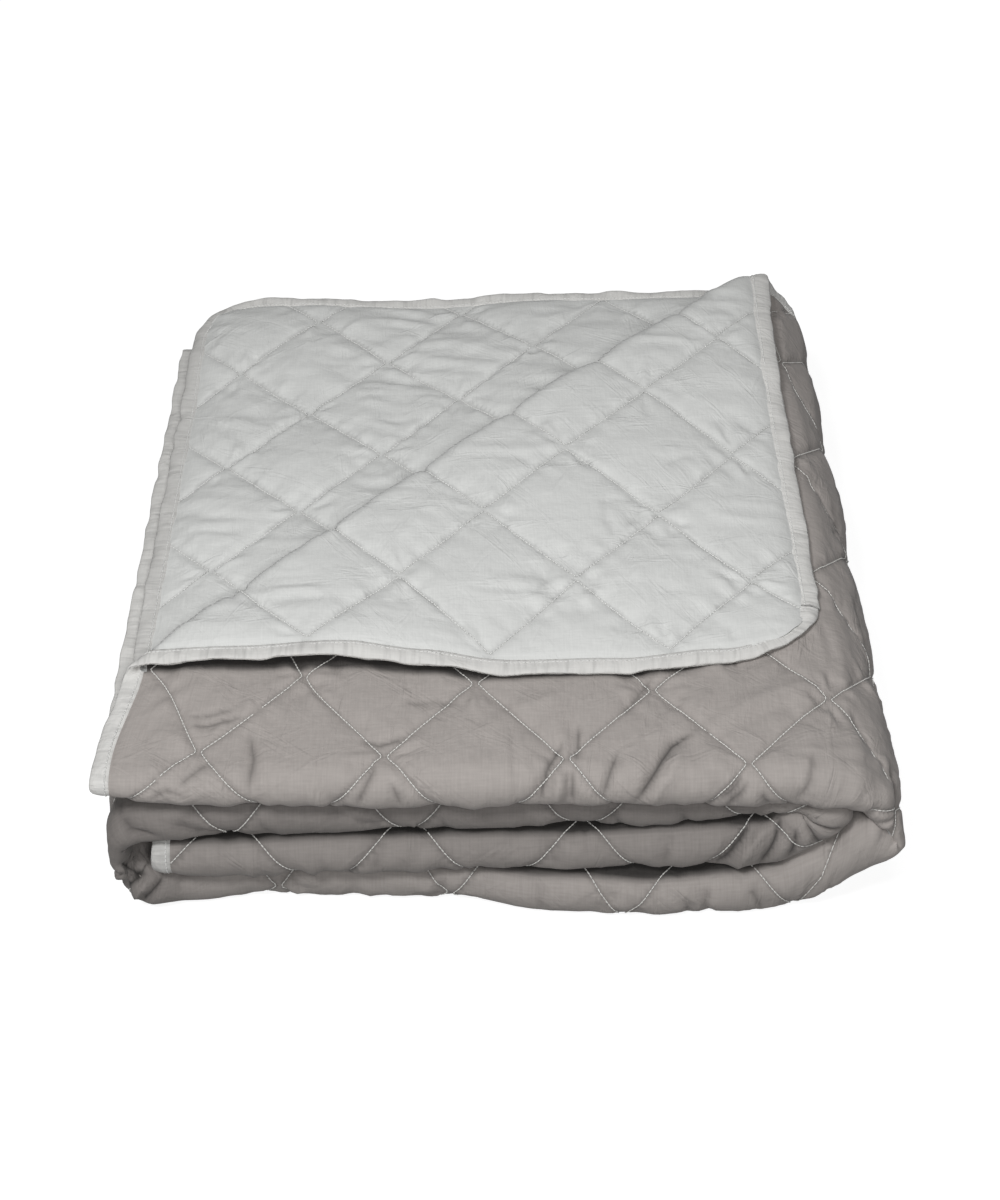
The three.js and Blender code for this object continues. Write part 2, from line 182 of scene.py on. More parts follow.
def makeRoll():  # the parts of the roll in order, each with its place along the cloth's width
    a = across
    h = columnHeight
    turn = lambda radius: halfTurn * (radius + a["turnHeight"])
    rows = (
        ("topColumn", a["rightTurn"] - a["leftEdge"], {"x": a["leftEdge"], "run": 1, "z": 3 * h, "up": 1}),
        ("rightTurn", turn(h), {"x": a["rightTurn"], "radius": h, "side": 1, "z": 2 * h, "up": 1}),
        ("bottomColumn", a["rightTurn"] - a["leftTurn"], {"x": a["rightTurn"], "run": -1, "z": h, "up": -1}),
        ("leftTurn", turn(h / 2), {"x": a["leftTurn"], "radius": h / 2, "side": -1, "z": 1.5 * h, "up": -1}),
        ("secondColumn", a["innerTurn"] - a["leftTurn"], {"x": a["leftTurn"], "run": 1, "z": 2 * h, "up": 1}),
        ("innerTurn", turn(0), {"x": a["innerTurn"], "radius": 0, "side": 1, "z": 2 * h, "up": 1}),
        ("thirdColumn", a["innerTurn"] - a["endEdge"],
         {"x": a["innerTurn"], "run": -1, "z": 2 * h, "up": -1}),
    )
    parts = {}
    end = 0.0
    for name, length, place in rows:
        parts[name] = {"start": end, "end": end + length, **place}
        end += length
    return parts


roll = makeRoll()
clothWidth = roll["thirdColumn"]["end"]
topColumnEnd = roll["topColumn"]["end"]
turnEnd = roll["rightTurn"]["end"]


def alongPart(u, name, margin, run):  # 1 on a part of the roll, and 0 further from it than the margin
    part = roll[name]
    return ease((u - part["start"] + margin) / run) * ease((part["end"] + margin - u) / run)


def closedShare(turn, y):  # 1 where a turn is pressed flat, and 0 where it is open
    return ease((turn["openAt"] - y) / (turn["openAt"] - turn["closedAt"]))


def rollPoint(u, h, y):
    x = np.zeros_like(u)
    z = np.zeros_like(u)
    for name, part in roll.items():
        first = name == "topColumn"
        last = name == "thirdColumn"
        inside = ((u >= part["start"]) | first) & ((u < part["end"]) | last)
        along = u[inside] - part["start"]
        height = h[inside]
        outward = (height - layerHeight["bottom"]) / layerSpread
        if "run" in part:
            x[inside] = part["x"] + part["run"] * along
            z[inside] = part["z"] + part["up"] * height
            if first:
                lift = leftLift["height"] * np.exp(-along / leftLift["reach"]) * (1 - outward)
                z[inside] += lift * ease((leftLift["from"] - y[inside]) / leftLift["run"])
            if name in columnRise:
                rule = columnRise[name]
                away = along if rule["at"] == "start" else part["end"] - part["start"] - along
                rise = rule["inner"] + (rule["outer"] - rule["inner"]) * outward
                rise = rise * np.exp(-((away / rule["reach"]) ** rule["power"]))
                z[inside] += rise * closedShare(pressed[rule["turn"]], y[inside])
            continue
        turn = pressed[name]
        closed = closedShare(turn, y[inside])
        angle = halfTurn * along / (part["end"] - part["start"])
        shape = turnShape[name]
        degrees = np.degrees(angle)
        share = between(shape["angle"], shape["share"], degrees)
        reach = between(shape["angle"], shape["open"], degrees) + (part["radius"] + height) * share
        x[inside] = part["x"] + part["side"] * reach * np.sin(angle)
        z[inside] = part["z"] + part["up"] * reach * np.cos(angle)
        for place, axis, plain in ((x, "X", np.sin(angle)), (z, "Z", np.cos(angle))):
            outerPath = np.interp(degrees, turn["angle"], turn["outer" + axis])
            innerPath = np.interp(degrees, turn["angle"], turn["inner" + axis])
            openPath = place[inside]
            if name == "rightTurn":  # where it is open, its outer side keeps to the pressed turn's
                plain = plain * (part["radius"] + layerHeight["top"]) * share
                openPath = openPath + outerPath - part[axis.lower()] - plain
            closedPath = innerPath + (outerPath - innerPath) * outward
            place[inside] = openPath + (closedPath - openPath) * closed
    return x, z


def makeLayers():  # where each layer and each bend between two layers ends, along the cloth
    d = depth
    ends = {"top": d["topEdge"] - d["outerFold"]}
    ends["outerBend"] = ends["top"] + halfTurn * d["outerFoldRadius"]
    ends["bottom"] = ends["outerBend"] + d["backFold"] - d["outerFold"]
    ends["backBend"] = ends["bottom"] + halfTurn * d["innerFoldRadius"]
    ends["third"] = ends["backBend"] + d["backFold"] - d["innerFold"]
    ends["innerBend"] = ends["third"] + halfTurn * d["innerFoldRadius"]
    ends["under"] = ends["innerBend"] + d["underEdge"] - d["innerFold"]
    return ends


layerEnd = makeLayers()
clothLength = layerEnd["under"]


def layerPoint(v):
    d = depth
    e = layerEnd
    outer = d["outerFoldRadius"]
    inner = d["innerFoldRadius"]
    front = (v - e["top"]) / outer
    back = (v - e["bottom"]) / inner
    core = (v - e["third"]) / inner
    stretches = [
        v <= e["top"], v < e["outerBend"], v <= e["bottom"],
        v < e["backBend"], v <= e["third"], v < e["innerBend"],
    ]
    y = np.select(stretches, [
        d["topEdge"] - v,
        d["outerFold"] - outer * np.sin(front),
        d["outerFold"] + v - e["outerBend"],
        d["backFold"] + inner * np.sin(back),
        d["backFold"] - (v - e["backBend"]),
        d["innerFold"] - inner * np.sin(core),
    ], d["innerFold"] + v - e["innerBend"])
    level = np.ones_like(v)
    h = np.select(stretches, [
        layerHeight["top"] * level,
        layerHeight["top"] - outer * (1 - np.cos(front)),
        layerHeight["bottom"] * level,
        layerHeight["bottom"] + inner * (1 - np.cos(back)),
        layerHeight["third"] * level,
        layerHeight["third"] + inner * (1 - np.cos(core)),
    ], layerHeight["under"] * level)
    return y, h


creaseLength = rootTwo * depth["topEdge"]


def turnCorner(u, y):  # turns the top layer's corner over its crease, which runs at 45 degrees
    t = (u + y) / rootTwo
    s = (u - y) / rootTwo
    along = np.clip(t / creaseLength, 0, 1)
    radius = flap["radiusAtFront"] + (flap["radiusAtBack"] - flap["radiusAtFront"]) * along
    bend = halfTurn * radius / 2
    away = np.maximum(-s - bend, 0)
    rested = flap["restHeight"] + (2 * radius - flap["restHeight"]) * np.exp(-((away / flap["settle"]) ** 2))
    angle = (bend - s) / radius
    cases = [s < -bend, s < bend]
    moved = np.select(cases, [-s, bend - radius * np.sin(angle)], s)
    rise = np.select(cases, [rested, radius * (1 - np.cos(angle))], 0.0)
    moved = moved - flap["bow"] * np.sin(halfTurn * along) * np.exp(-((moved / flap["bowReach"]) ** 2))
    return (t + moved) / rootTwo, (t - moved) / rootTwo, rise


def crownAt(x, y):
    rows = [between(crown["across"], heights, x) for heights in crown["heights"]]
    result = rows[0]
    for i in range(1, len(rows)):
        share = ease((y - crown["depths"][i - 1]) / (crown["depths"][i] - crown["depths"][i - 1]))
        result = result + (rows[i] - rows[i - 1]) * share
    return result


# Which part of the cloth a point of the flat cloth belongs to.
def inTopColumn(u):
    return u < topColumnEnd


def creaseDistance(u, v):  # below zero on the turned-over corner
    return (u - (depth["topEdge"] - v)) / rootTwo


def onFlap(u, v):
    return (v < layerEnd["top"]) & (creaseDistance(u, v) < 0) & inTopColumn(u)


def onUnder(u, v):
    return (v > layerEnd["innerBend"]) & inTopColumn(u)


def byRegion(u, v, elsewhere, onCorner, onLower):
    return np.where(onUnder(u, v), onLower, np.where(onFlap(u, v), onCorner, elsewhere))


def edgeDistance(u, v):
    return np.minimum(np.minimum(u, clothWidth - u), np.minimum(v, clothLength - v))


def inRoundCorner(u, v):
    radius = quilt["cornerRadius"]
    return ((u < radius) | (u > clothWidth - radius)) & ((v < radius) | (v > clothLength - radius))


lipPlaces = [roll[part]["start"] + at * (roll[part]["end"] - roll[part]["start"]) for part, at, back in lips]
lipBacks = [back for part, at, back in lips]


def foldedPoint(u, v):  # where a point of the flat cloth lies in the folded pack
    y, h = layerPoint(v)
    onTop = v <= layerEnd["top"]
    turnable = onTop & (u < turnEnd)
    cornerU, cornerY, rise = turnCorner(u, y)
    alongRoll = np.where(turnable, cornerU, u)
    y = np.where(turnable, cornerY, y)
    h = np.where(turnable, h + rise, h)
    y = np.where(onTop & (y > 0), y * depth["topShare"], y)
    x, z = rollPoint(alongRoll, h, y)
    y = y + between(lipPlaces, lipBacks, u) * ease((lipReach["from"] - y) / lipReach["run"])
    atLip = slide["atLip"] * ease((slide["lipFrom"] - y) / slide["lipRun"])
    ofPair = slide["ofLowerPair"] * ease((slide["pairBelow"] - h) / slide["pairRun"])
    x = x - np.where(inTopColumn(u), np.maximum(atLip, ofPair) * np.exp(-((u / slide["reach"]) ** 2)), 0)
    s = endSlide
    x = x - s["out"] * np.exp(-(((clothWidth - u) / s["reach"]) ** 2)) * ease((s["from"] - y) / s["run"])
    s = setBack
    for name in pressed:
        near = alongPart(u, name, s["beside"], s["beside"]) * (v > layerEnd["backBend"])
        y = y + s["by"] * near * ease((s["from"] - y) / s["run"])
    drawIn = taper["share"] * ease((y - taper["start"]) / taper["run"])
    x = x - np.maximum(x - taper["from"], 0) * drawIn
    z = z + crownAt(x, y) * (z - crown["floorHeight"]) / (crown["topHeight"] - crown["floorHeight"])
    c = cornerLift
    lift = c["height"] * np.exp(-(((x - c["across"]) / c["acrossReach"]) ** 2))
    lift = lift * ease((y - c["from"]) / c["run"])
    z = z + lift * onUnder(u, v)
    turned = turnable & (rise > flap["turnedRise"]) & inTopColumn(u)
    nearEdge = ease((flapEdge["reach"] - y) / flapEdge["reach"]) * turned
    z = z + between(flapEdge["x"], flapEdge["lift"], x) * nearEdge
    y = y + between(flapEdge["x"], flapEdge["back"], x) * nearEdge
    return np.stack([x, y, z], -1)


print("fold ready,", round(clothWidth), "by", round(clothLength), "millimetres of cloth")


# Quilting: zigzag seams that form diamonds. A point of the cloth has a place (p, q) in the pattern,
# and the diamonds' corners are where p + q and p - q are both whole.
pattern = {
    "pitch": 133.5,  # between a zigzag and the next but one, where the cloth is hidden
    "main": {"u": 68.0, "v": 611.0, "pitchU": 133.5, "pitchV": 142.0, "p": 0.5, "q": 3.5, "skew": 0.035},
    "flap": {"u": 18.0, "v": 120.0, "pitchU": 154.0, "pitchV": 137.5, "p": 0.0, "q": 0.0, "skew": 0.0},
    "under": {"u": 52.0, "v": 2219.0, "pitchU": 132.0, "pitchV": 131.0, "p": 0.0, "q": 16.0, "skew": 0.1},
    "blendAtCrease": (10.0, 120.0),  # start and run of the change from one pattern to the next
    "blendAtInnerBend": (10.0, 80.0),
    "topLayerRun": 60.0,
    "turnRun": 120.0,
    "seamGap": 4.4,  # between neighbouring zigzags where they nearly meet
    "rounding": 0.9985,  # of the zigzags' points: 1 is sharp
    "searchRounds": 14, "searchStep": 125.0,  # for the point of the cloth at a place in the pattern
}


def placeIn(name, u, v):
    rule = pattern[name]
    p = rule["p"] + (u - rule["u"]) / rule["pitchU"]
    q = rule["q"] + (v - rule["v"] - rule["skew"] * (u - rule["u"])) / rule["pitchV"]
    return p, q


def patternPlace(u, v):
    p, q = placeIn("main", u, np.minimum(v, layerEnd["outerBend"]))
    q = q + np.maximum(v - layerEnd["outerBend"], 0) / pattern["pitch"]
    start, run = pattern["blendAtCrease"]
    toMain = ease((creaseDistance(u, v) - start) / run)
    flapP, flapQ = placeIn("flap", u, v)
    run = pattern["topLayerRun"]
    share = (1 - toMain) * ease((layerEnd["top"] + run - v) / run)
    p = p + (flapP - p) * share
    q = q + (flapQ - q) * share
    underP, underQ = placeIn("under", u, v)
    start, run = pattern["blendAtInnerBend"]
    share = ease((v - layerEnd["innerBend"] - start) / run) * ease((turnEnd - u) / pattern["turnRun"])
    return p + (underP - p) * share, q + (underQ - q) * share


def seamPlace(number, q):  # p on a numbered zigzag seam
    wave = np.arcsin(pattern["rounding"] * np.cos(2 * halfTurn * q)) / math.asin(pattern["rounding"])
    side = np.where(number % 2 == 0, -1.0, 1.0)
    reach = 0.25 - pattern["seamGap"] / 2 / pattern["pitch"]
    return number / 2 + 0.25 + side * reach * wave


def seamOffset(u, v):  # how far right of its seam a point lies, and the seam's number
    p, q = patternPlace(u, v)
    number = np.floor(2 * p)
    return (p - seamPlace(number, q)) * pattern["pitch"], number


def onCloth(p, q, u, v):  # the point of the flat cloth at a place in the pattern
    for attempt in range(pattern["searchRounds"]):
        nowP, nowQ = patternPlace(u, v)
        u = u + (p - nowP) * pattern["searchStep"]
        v = v + (q - nowQ) * pattern["searchStep"]
    return u, v


# Unevenness, from one seeded table.
noiseSize = 64
noiseTable = np.random.default_rng(11).uniform(-1, 1, (noiseSize, noiseSize))


def unevenness(x, y):  # smooth, about -1 to 1, one lump for each unit
    ix = np.floor(x).astype(int)
    iy = np.floor(y).astype(int)
    fx = ease(x - ix)
    fy = ease(y - iy)
    at = lambda dx, dy: noiseTable[(ix + dx) % noiseSize, (iy + dy) % noiseSize]
    low = at(0, 0) * (1 - fx) + at(1, 0) * fx
    high = at(0, 1) * (1 - fx) + at(1, 1) * fx
    return low * (1 - fy) + high * fy


puff = {  # the pillow of each diamond, by region: elsewhere, turned-over corner, layer under the top one
    "faceHeights": (5.2, 3.0, 3.0),
    "reverseHeights": (5.2, 6.3, 8.2),
    "shoulders": (14.0, 18.0, 24.0),  # distance over which it rises from a seam
    "lipExtra": 0.4, "lipPast": 20.0, "lipReach": 60.0,  # added along the face's front lips
    "groove": 2.4,  # distance over which the thread's own groove rises
    "grooveShare": 0.38,
    "uneven": 0.3, "unevenSize": 90.0,
    "edge": 13.0, "edgeRun": 10.0,  # the binding holds the cloth down up to here
}
evened = {  # the bottom column's lip is drawn even, towards this share of the pillow
    "to": 0.75, "share": 0.7, "from": 640.0, "run": 22.0, "left": 680.0, "right": 1330.0, "acrossRun": 20.0,
}
gather = {  # little folds across each seam
    "height": 2.6, "pitch": 8.5, "reach": 13.0, "start": 2.0, "drift": 60.0, "rowStep": 7.7,
}
crowsFoot = {  # short folds that spread from the diamonds' corners
    "height": 0.85, "from": 17.0, "reach": 12.0, "folds": 7, "fineFolds": 11, "fineShare": 0.7,
    # They turn and weaken from corner to corner by odd steps, so that no two corners look alike.
    "turnByRow": 2.4, "turnByColumn": 1.7, "fineTurn": 3.1,
    "fadeByRow": 5.3, "fadeByColumn": 3.9, "share": 0.75, "varies": 0.6,
}
crinkle = {
    "height": 3.0, "across": 19.0, "along": 60.0, "fine": 1.5, "fineAcross": 9.0, "fineAlong": 30.0,
    "faceRow": 7.3, "reverseRow": 31.7,  # where each side reads the unevenness
    "lengthwise": (0.3, 0.2, 0.85), "amount": (0.6, 0.5, 0.95),  # by region, as for the puffs
    "slant": 0.01, "turnSize": 90.0, "turnShare": 0.4, "patchSize": 55.0, "patchContrast": 1.2, "least": 0.25,
    "atSeam": 0.2,  # share of it that is left where the seams hold the cloth down
}


def puffAt(u, v, side):
    p, q = patternPlace(u, v)
    toSeam = pattern["pitch"] / rootTwo
    row = np.round(p + q)
    column = np.round(p - q)
    across = p + q - row
    upward = p - q - column
    one = np.abs(across) * toSeam
    other = np.abs(upward) * toSeam
    shoulder = byRegion(u, v, *puff["shoulders"])

    def rise(distance):
        groove = puff["grooveShare"]
        wide = (1 - groove) * (1 - np.exp(-distance / shoulder))
        return wide + groove * (1 - np.exp(-distance / puff["groove"]))
    pillow = rise(one) * rise(other)
    e = evened
    under = ease((v - e["from"]) / e["run"]) * (v < layerEnd["bottom"])
    under = under * ease((u - e["left"]) / e["acrossRun"]) * ease((e["right"] - u) / e["acrossRun"])
    pillow = pillow + (e["to"] - pillow) * e["share"] * under * (side > 0)
    height = byRegion(u, v, *puff["faceHeights" if side > 0 else "reverseHeights"])
    atLip = np.exp(-(((v - layerEnd["top"] - puff["lipPast"]) / puff["lipReach"]) ** 2))
    height = height + puff["lipExtra"] * atLip * (side > 0)
    inside = 1 - np.exp(-np.maximum(edgeDistance(u, v) - puff["edge"], 0) / puff["edgeRun"])
    height = height * (1 + puff["uneven"] * unevenness(u / puff["unevenSize"] + 5, v / puff["unevenSize"]))
    gathers = np.zeros_like(u)
    for distance, along, seam in ((one, (p - q) * toSeam, p + q), (other, (p + q) * toSeam, p - q)):
        fade = np.exp(-distance / gather["reach"]) * (1 - np.exp(-distance / gather["start"]))
        noiseRow = np.round(seam) * gather["rowStep"] + distance / gather["drift"]
        lump = unevenness(along / gather["pitch"], noiseRow)
        gathers = gathers + fade * lump
    away = np.hypot(across, upward) * toSeam
    angle = np.arctan2(upward, across)
    c = crowsFoot
    turn = c["turnByRow"] * row + c["turnByColumn"] * column + side
    feet = np.cos(c["folds"] * angle + turn)
    feet = feet + c["fineShare"] * np.cos(c["fineFolds"] * angle + c["fineTurn"] * turn)
    feet = feet * np.exp(-(((away - c["from"]) / c["reach"]) ** 2)) * c["height"]
    fade = c["fadeByRow"] * row + c["fadeByColumn"] * column + 2 * angle
    feet = feet * (c["share"] + c["varies"] * np.sin(fade))
    return (height * pillow + gather["height"] * gathers + feet) * inside, pillow * inside


def folds(x, y):  # low ridges with sharp tops, about -0.4 to 0.6
    return 0.6 - np.abs(unevenness(x, y)) * 2.2


def crinkleAt(u, v, side):
    c = crinkle
    row = c["faceRow"] if side > 0 else c["reverseRow"]
    lengthwise = folds(u / c["along"] + row, v / c["across"] + c["slant"] * u) * c["height"]
    lengthwise = lengthwise + folds(u / c["fineAlong"] - row, v / c["fineAcross"] + row) * c["fine"]
    crosswise = folds(u / c["across"] + row, v / c["along"] - row) * c["height"]
    crosswise = crosswise + folds(u / c["fineAcross"], v / c["fineAlong"] + 2 * row) * c["fine"]
    # On the turned-over corner the crinkles run across it, and on the front from front to back.
    run = byRegion(u, v, *c["lengthwise"])
    run = np.clip(run + c["turnShare"] * unevenness(u / c["turnSize"], v / c["turnSize"] + row), 0, 1)
    patches = unevenness(u / c["patchSize"] + row, v / c["patchSize"] - row)
    patches = ease(0.5 + c["patchContrast"] * patches)
    patches = c["least"] + (1 - c["least"]) * patches
    return (lengthwise * run + crosswise * (1 - run)) * patches * byRegion(u, v, *c["amount"])


# Creases placed one by one, each with its width and height and then its points on the flat cloth.
creases = {
    1: (  # on the face
        (4.5, -6.5, (383, 655), (400, 630), (413, 608), (432, 594)),
        (4.1, 2.8, (392, 655), (410, 632), (424, 612)),
        (8.2, 3.7, (448, 588), (478, 566), (510, 550), (545, 542)),
        (6.6, -2.2, (455, 598), (486, 576), (520, 562)),
        (4.1, -3.4, (104, 592), (109, 618), (106, 645)),
        (3.7, 1.9, (114, 600), (117, 630)),
        (4.1, -4.0, (314, 655), (320, 630), (333, 604)),
        (3.7, 2.5, (326, 652), (330, 628)),
        (3.7, -3.4, (339, 655), (339, 628)),
        (4.1, -3.7, (361, 650), (366, 632), (374, 612)),
        (4.9, 2.2, (300, 575), (330, 560)),
        (4.1, -2.8, (60, 640), (82, 618)),
        (4.1, -3.1, (180, 655), (190, 635), (197, 622)),
        (3.7, -2.5, (214, 654), (207, 636)),
        (4.1, -3.4, (452, 662), (462, 645), (468, 636)),
        (4.1, -2.8, (486, 660), (477, 644)),
        (4.9, -2.5, (500, 652), (512, 636), (516, 615)),
        (4.9, -2.8, (560, 600), (556, 575), (550, 560)),
        (4.9, -2.8, (596, 470), (585, 430), (590, 395)),
        (4.9, -2.5, (570, 350), (585, 325), (580, 290)),
        (4.9, -3.4, (605, 640), (600, 610), (592, 588)),
        (4.2, -4.6, (722, 606), (727, 622), (727, 634)),
        (3.8, -4.2, (739, 606), (743, 622), (742, 634)),
        (3.6, 2.2, (731, 608), (735, 622), (734, 632)),
        (4.4, -3.7, (698, 612), (707, 634)),
        (4.1, -4.7, (800, 630), (806, 648), (803, 662)),
        (4.1, -3.7, (816, 632), (822, 656)),
        (4.9, -2.5, (760, 636), (772, 660)),
        (4.9, -2.8, (930, 636), (936, 668)),
        (4.9, -2.8, (1010, 640), (1004, 668)),
        (4.9, -2.8, (1120, 640), (1128, 668)),
        (3.8, -8.0, (1260, 639), (1262, 647), (1260, 656), (1254, 664)),
        (3.8, -8.5, (1241, 638), (1241, 647), (1237, 656), (1230, 665)),
        (4.0, -7.0, (1289, 651), (1282, 656), (1270, 660), (1248, 665)),
        (4.0, 3.0, (1249, 634), (1251, 650), (1246, 662)),
        (4.5, 3.0, (1271, 638), (1272, 652)),
        (4.1, -3.7, (1215, 650), (1205, 672)),
        (4.1, -5.0, (1360, 640), (1384, 652), (1400, 656)),
        (4.9, -2.8, (1420, 640), (1440, 660)),
        (4.9, -3.1, (1560, 640), (1568, 662)),
        (4.9, -3.4, (1690, 640), (1700, 664)),
        (4.9, -4.0, (1740, 636), (1752, 668)),
        (4.9, -9.3, (1968, 634), (1958, 650), (1944, 668)),
        (4.1, 3.7, (1956, 630), (1946, 650), (1930, 666)),
        (4.5, -5.6, (1936, 632), (1926, 655), (1920, 672)),
        (4.1, -5.0, (1915, 634), (1908, 660)),
        (4.1, -5.3, (1898, 632), (1893, 664)),
        (4.1, -4.7, (1878, 634), (1876, 664)),
        (4.9, -3.7, (2010, 640), (2002, 668)),
        (4.9, -2.8, (2090, 640), (2096, 668)),
        (4.9, -2.8, (2230, 640), (2222, 668)),
        (3.4, -3.2, (345, 586), (344, 604), (342, 624)),
        (3.4, -3.0, (404, 536), (390, 558), (376, 580)),
        (3.6, 2.6, (446, 554), (440, 568), (433, 582)),
        (3.6, -3.2, (464, 632), (455, 645), (447, 653)),
        (5.0, 2.8, (513, 620), (508, 634), (504, 645)),
        (5.0, 2.2, (498, 618), (494, 632), (490, 643)),
        (3.6, -3.0, (60, 588), (76, 586), (98, 578)),
        (3.6, -2.2, (58, 580), (76, 577), (92, 571)),
        (3.6, -3.4, (184, 602), (198, 606), (220, 598)),
        (5.0, -1.6, (210, 570), (240, 566), (262, 570)),
        (3.6, -2.4, (42, 650), (54, 642), (66, 646)),
        (4.2, -6.5, (1336, 616), (1337, 634), (1341, 647), (1358, 653)),
        (3.6, -3.0, (1478, 636), (1500, 646), (1524, 652)),
        (3.6, -2.2, (1480, 628), (1496, 636), (1512, 640)),
    ),
    -1: (  # on the reverse
        (4.1, -1.7, (178, 168), (186, 150), (180, 132)),
        (4.1, -1.7, (150, 150), (168, 138), (190, 130)),
        (4.1, -1.9, (226, 112), (238, 96), (244, 80)),
        (4.1, 1.2, (238, 118), (252, 96)),
        (4.1, -1.7, (76, 226), (92, 212), (112, 206)),
        (4.1, -1.9, (80, 70), (94, 54), (100, 34)),
        (6.6, 1.4, (60, 150), (84, 140), (120, 144)),
        (6.6, 1.4, (130, 330), (170, 300)),
        (4.9, 1.2, (40, 2150), (90, 2146), (130, 2152)),
        (4.9, 1.2, (30, 2060), (80, 2052)),
        (4.9, 1.2, (150, 2190), (200, 2186)),
        (4.9, 1.2, (120, 2250), (175, 2244)),
        (4.9, 1.2, (40, 1990), (86, 1984)),
        (3.8, -1.5, (194, 161), (166, 163), (136, 157)),
        (3.6, -1.4, (183, 137), (172, 135), (161, 133)),
        (3.8, -1.5, (111, 217), (88, 214), (70, 207)),
        (3.6, -1.2, (108, 71), (96, 69), (86, 67)),
        (3.6, -1.4, (42, 74), (32, 73), (20, 72)),
        (4.2, 1.4, (46, 163), (32, 166), (20, 169)),
    ),
}
creaseShape = {
    "widest": 6.0,  # of the creases that the mesh and the shade draw sharp
    "sharpShare": 0.42, "reach": 3.0, "power": 1.25, "fade": 0.35, "atEnds": 0.15,
}
noSeam = -9999.0
creaseNumber = 10000  # so that a crease's number is never a seam's


def snapToCreases(us, vs, side, step, free):  # the mesh's points move onto the creases near them
    numbers = np.full(len(us), noSeam)
    for number, (width, height, *path) in enumerate(creases[side]):
        if width > creaseShape["widest"]:
            continue
        path = np.array(path, float)
        steep = abs(path[-1, 1] - path[0, 1]) > abs(path[-1, 0] - path[0, 0])
        path = path[np.argsort(path[:, 1 if steep else 0])]
        along, across = (vs, us) if steep else (us, vs)
        pathAlong, pathAcross = (path[:, 1], path[:, 0]) if steep else (path[:, 0], path[:, 1])
        target = np.interp(along, pathAlong, pathAcross)
        near = free & (along >= pathAlong[0]) & (along <= pathAlong[-1])
        near &= np.abs(across - target) < step / 2
        across[near] = target[near]
        numbers[near] = creaseNumber + number
        free = free & ~near
    return numbers


def creaseAt(u, v, side, sharp=False):
    c = creaseShape
    total = np.zeros(len(u))
    for width, height, *path in creases[side]:
        if sharp and width > c["widest"]:
            continue
        width = width * c["sharpShare"] if sharp else width
        path = np.array(path, float)
        low = path.min(0) - c["reach"] * width
        high = path.max(0) + c["reach"] * width
        near = np.flatnonzero((u > low[0]) & (u < high[0]) & (v > low[1]) & (v < high[1]))
        if len(near) == 0:
            continue
        lengths = np.hypot(*np.diff(path, axis=0).T)
        whole = lengths.sum()
        best = np.full(len(near), np.inf)
        place = np.zeros(len(near))
        done = 0.0
        for start, end, length in zip(path[:-1], path[1:], lengths):
            along = (u[near] - start[0]) * (end[0] - start[0]) + (v[near] - start[1]) * (end[1] - start[1])
            along = along / length
            along = np.clip(along, 0, length)
            unit = (end - start) / length
            distance = np.hypot(u[near] - start[0] - along * unit[0], v[near] - start[1] - along * unit[1])
            closer = distance < best
            best = np.where(closer, distance, best)
            place = np.where(closer, done + along, place)
            done += length
        fade = ease(np.minimum(place, whole - place) / (c["fade"] * whole) + c["atEnds"])
        total[near] += height * fade * np.exp(-((best / width) ** c["power"]))
    return total


# Where the turns are pressed flat at the front, the layers inside them are thin, so that the outer
# ones cover them.
thin = {"from": 20.0, "run": 60.0, "start": -30.0, "startRun": 40.0, "end": 20.0, "endRun": 60.0, "to": 0.12}


def thickness(u, v, side):  # of a cloth, as a share
    y, h = layerPoint(v)
    front = ease((thin["from"] - y) / thin["run"])
    turned = ease((u - topColumnEnd - thin["start"]) / thin["startRun"])
    turned = turned * ease((clothWidth - thin["end"] - u) / thin["endRun"])
    hidden = v > layerEnd["backBend"] if side > 0 else True
    return 1 - (1 - thin["to"]) * front * turned * hidden


def quiltHeight(u, v, side):  # of a cloth's outer side over the middle of the quilt
    height, pillow = puffAt(u, v, side)
    loose = crinkle["atSeam"] + (1 - crinkle["atSeam"]) * pillow
    height = height + crinkleAt(u, v, side) * loose + creaseAt(u, v, side)
    pressedDown = np.minimum(height, quilt["pressedHeight"])
    height = np.where(edgeDistance(u, v) < quilt["pressedEdge"], pressedDown, height)
    height = np.maximum(height, quilt["lowest"])
    height = quilt["halfAtSeam"] - quilt["halfInside"] - quilt["leastCloth"] + height
    return quilt["halfInside"] + quilt["leastCloth"] + height * thickness(u, v, side)


# The two surfaces of the quilt. Side is 1 for the face and -1 for the reverse.
def faceNormal(u, v):
    step = 0.5
    alongU = foldedPoint(u + step, v) - foldedPoint(u - step, v)
    alongV = foldedPoint(u, v + step) - foldedPoint(u, v - step)
    normal = np.cross(alongV, alongU)
    return normal / np.linalg.norm(normal, axis=1, keepdims=True)


def inBlocks(work, u, v, size=20000):  # in blocks, so that the memory stays small
    return np.concatenate([work(u[i:i + size], v[i:i + size]) for i in range(0, len(u), size)])


def onFloor(points, lift=0.0):  # nothing sinks into the floor
    points[:, 2] = np.maximum(points[:, 2], -quilt["modelShift"][2] + quilt["floorGap"] + lift)
    return points


def surfacePoint(u, v, side, extra=0.0):
    def work(us, vs):
        height = quiltHeight(us, vs, side) + extra
        return onFloor(foldedPoint(us, vs) + faceNormal(us, vs) * (side * height)[:, None])
    return inBlocks(work, u, v)


def hiddenPoint(u, v, side):
    def work(us, vs):
        inside = foldedPoint(us, vs) + faceNormal(us, vs) * side * quilt["halfInside"]
        return onFloor(inside, quilt["hiddenLift"])
    return inBlocks(work, u, v)


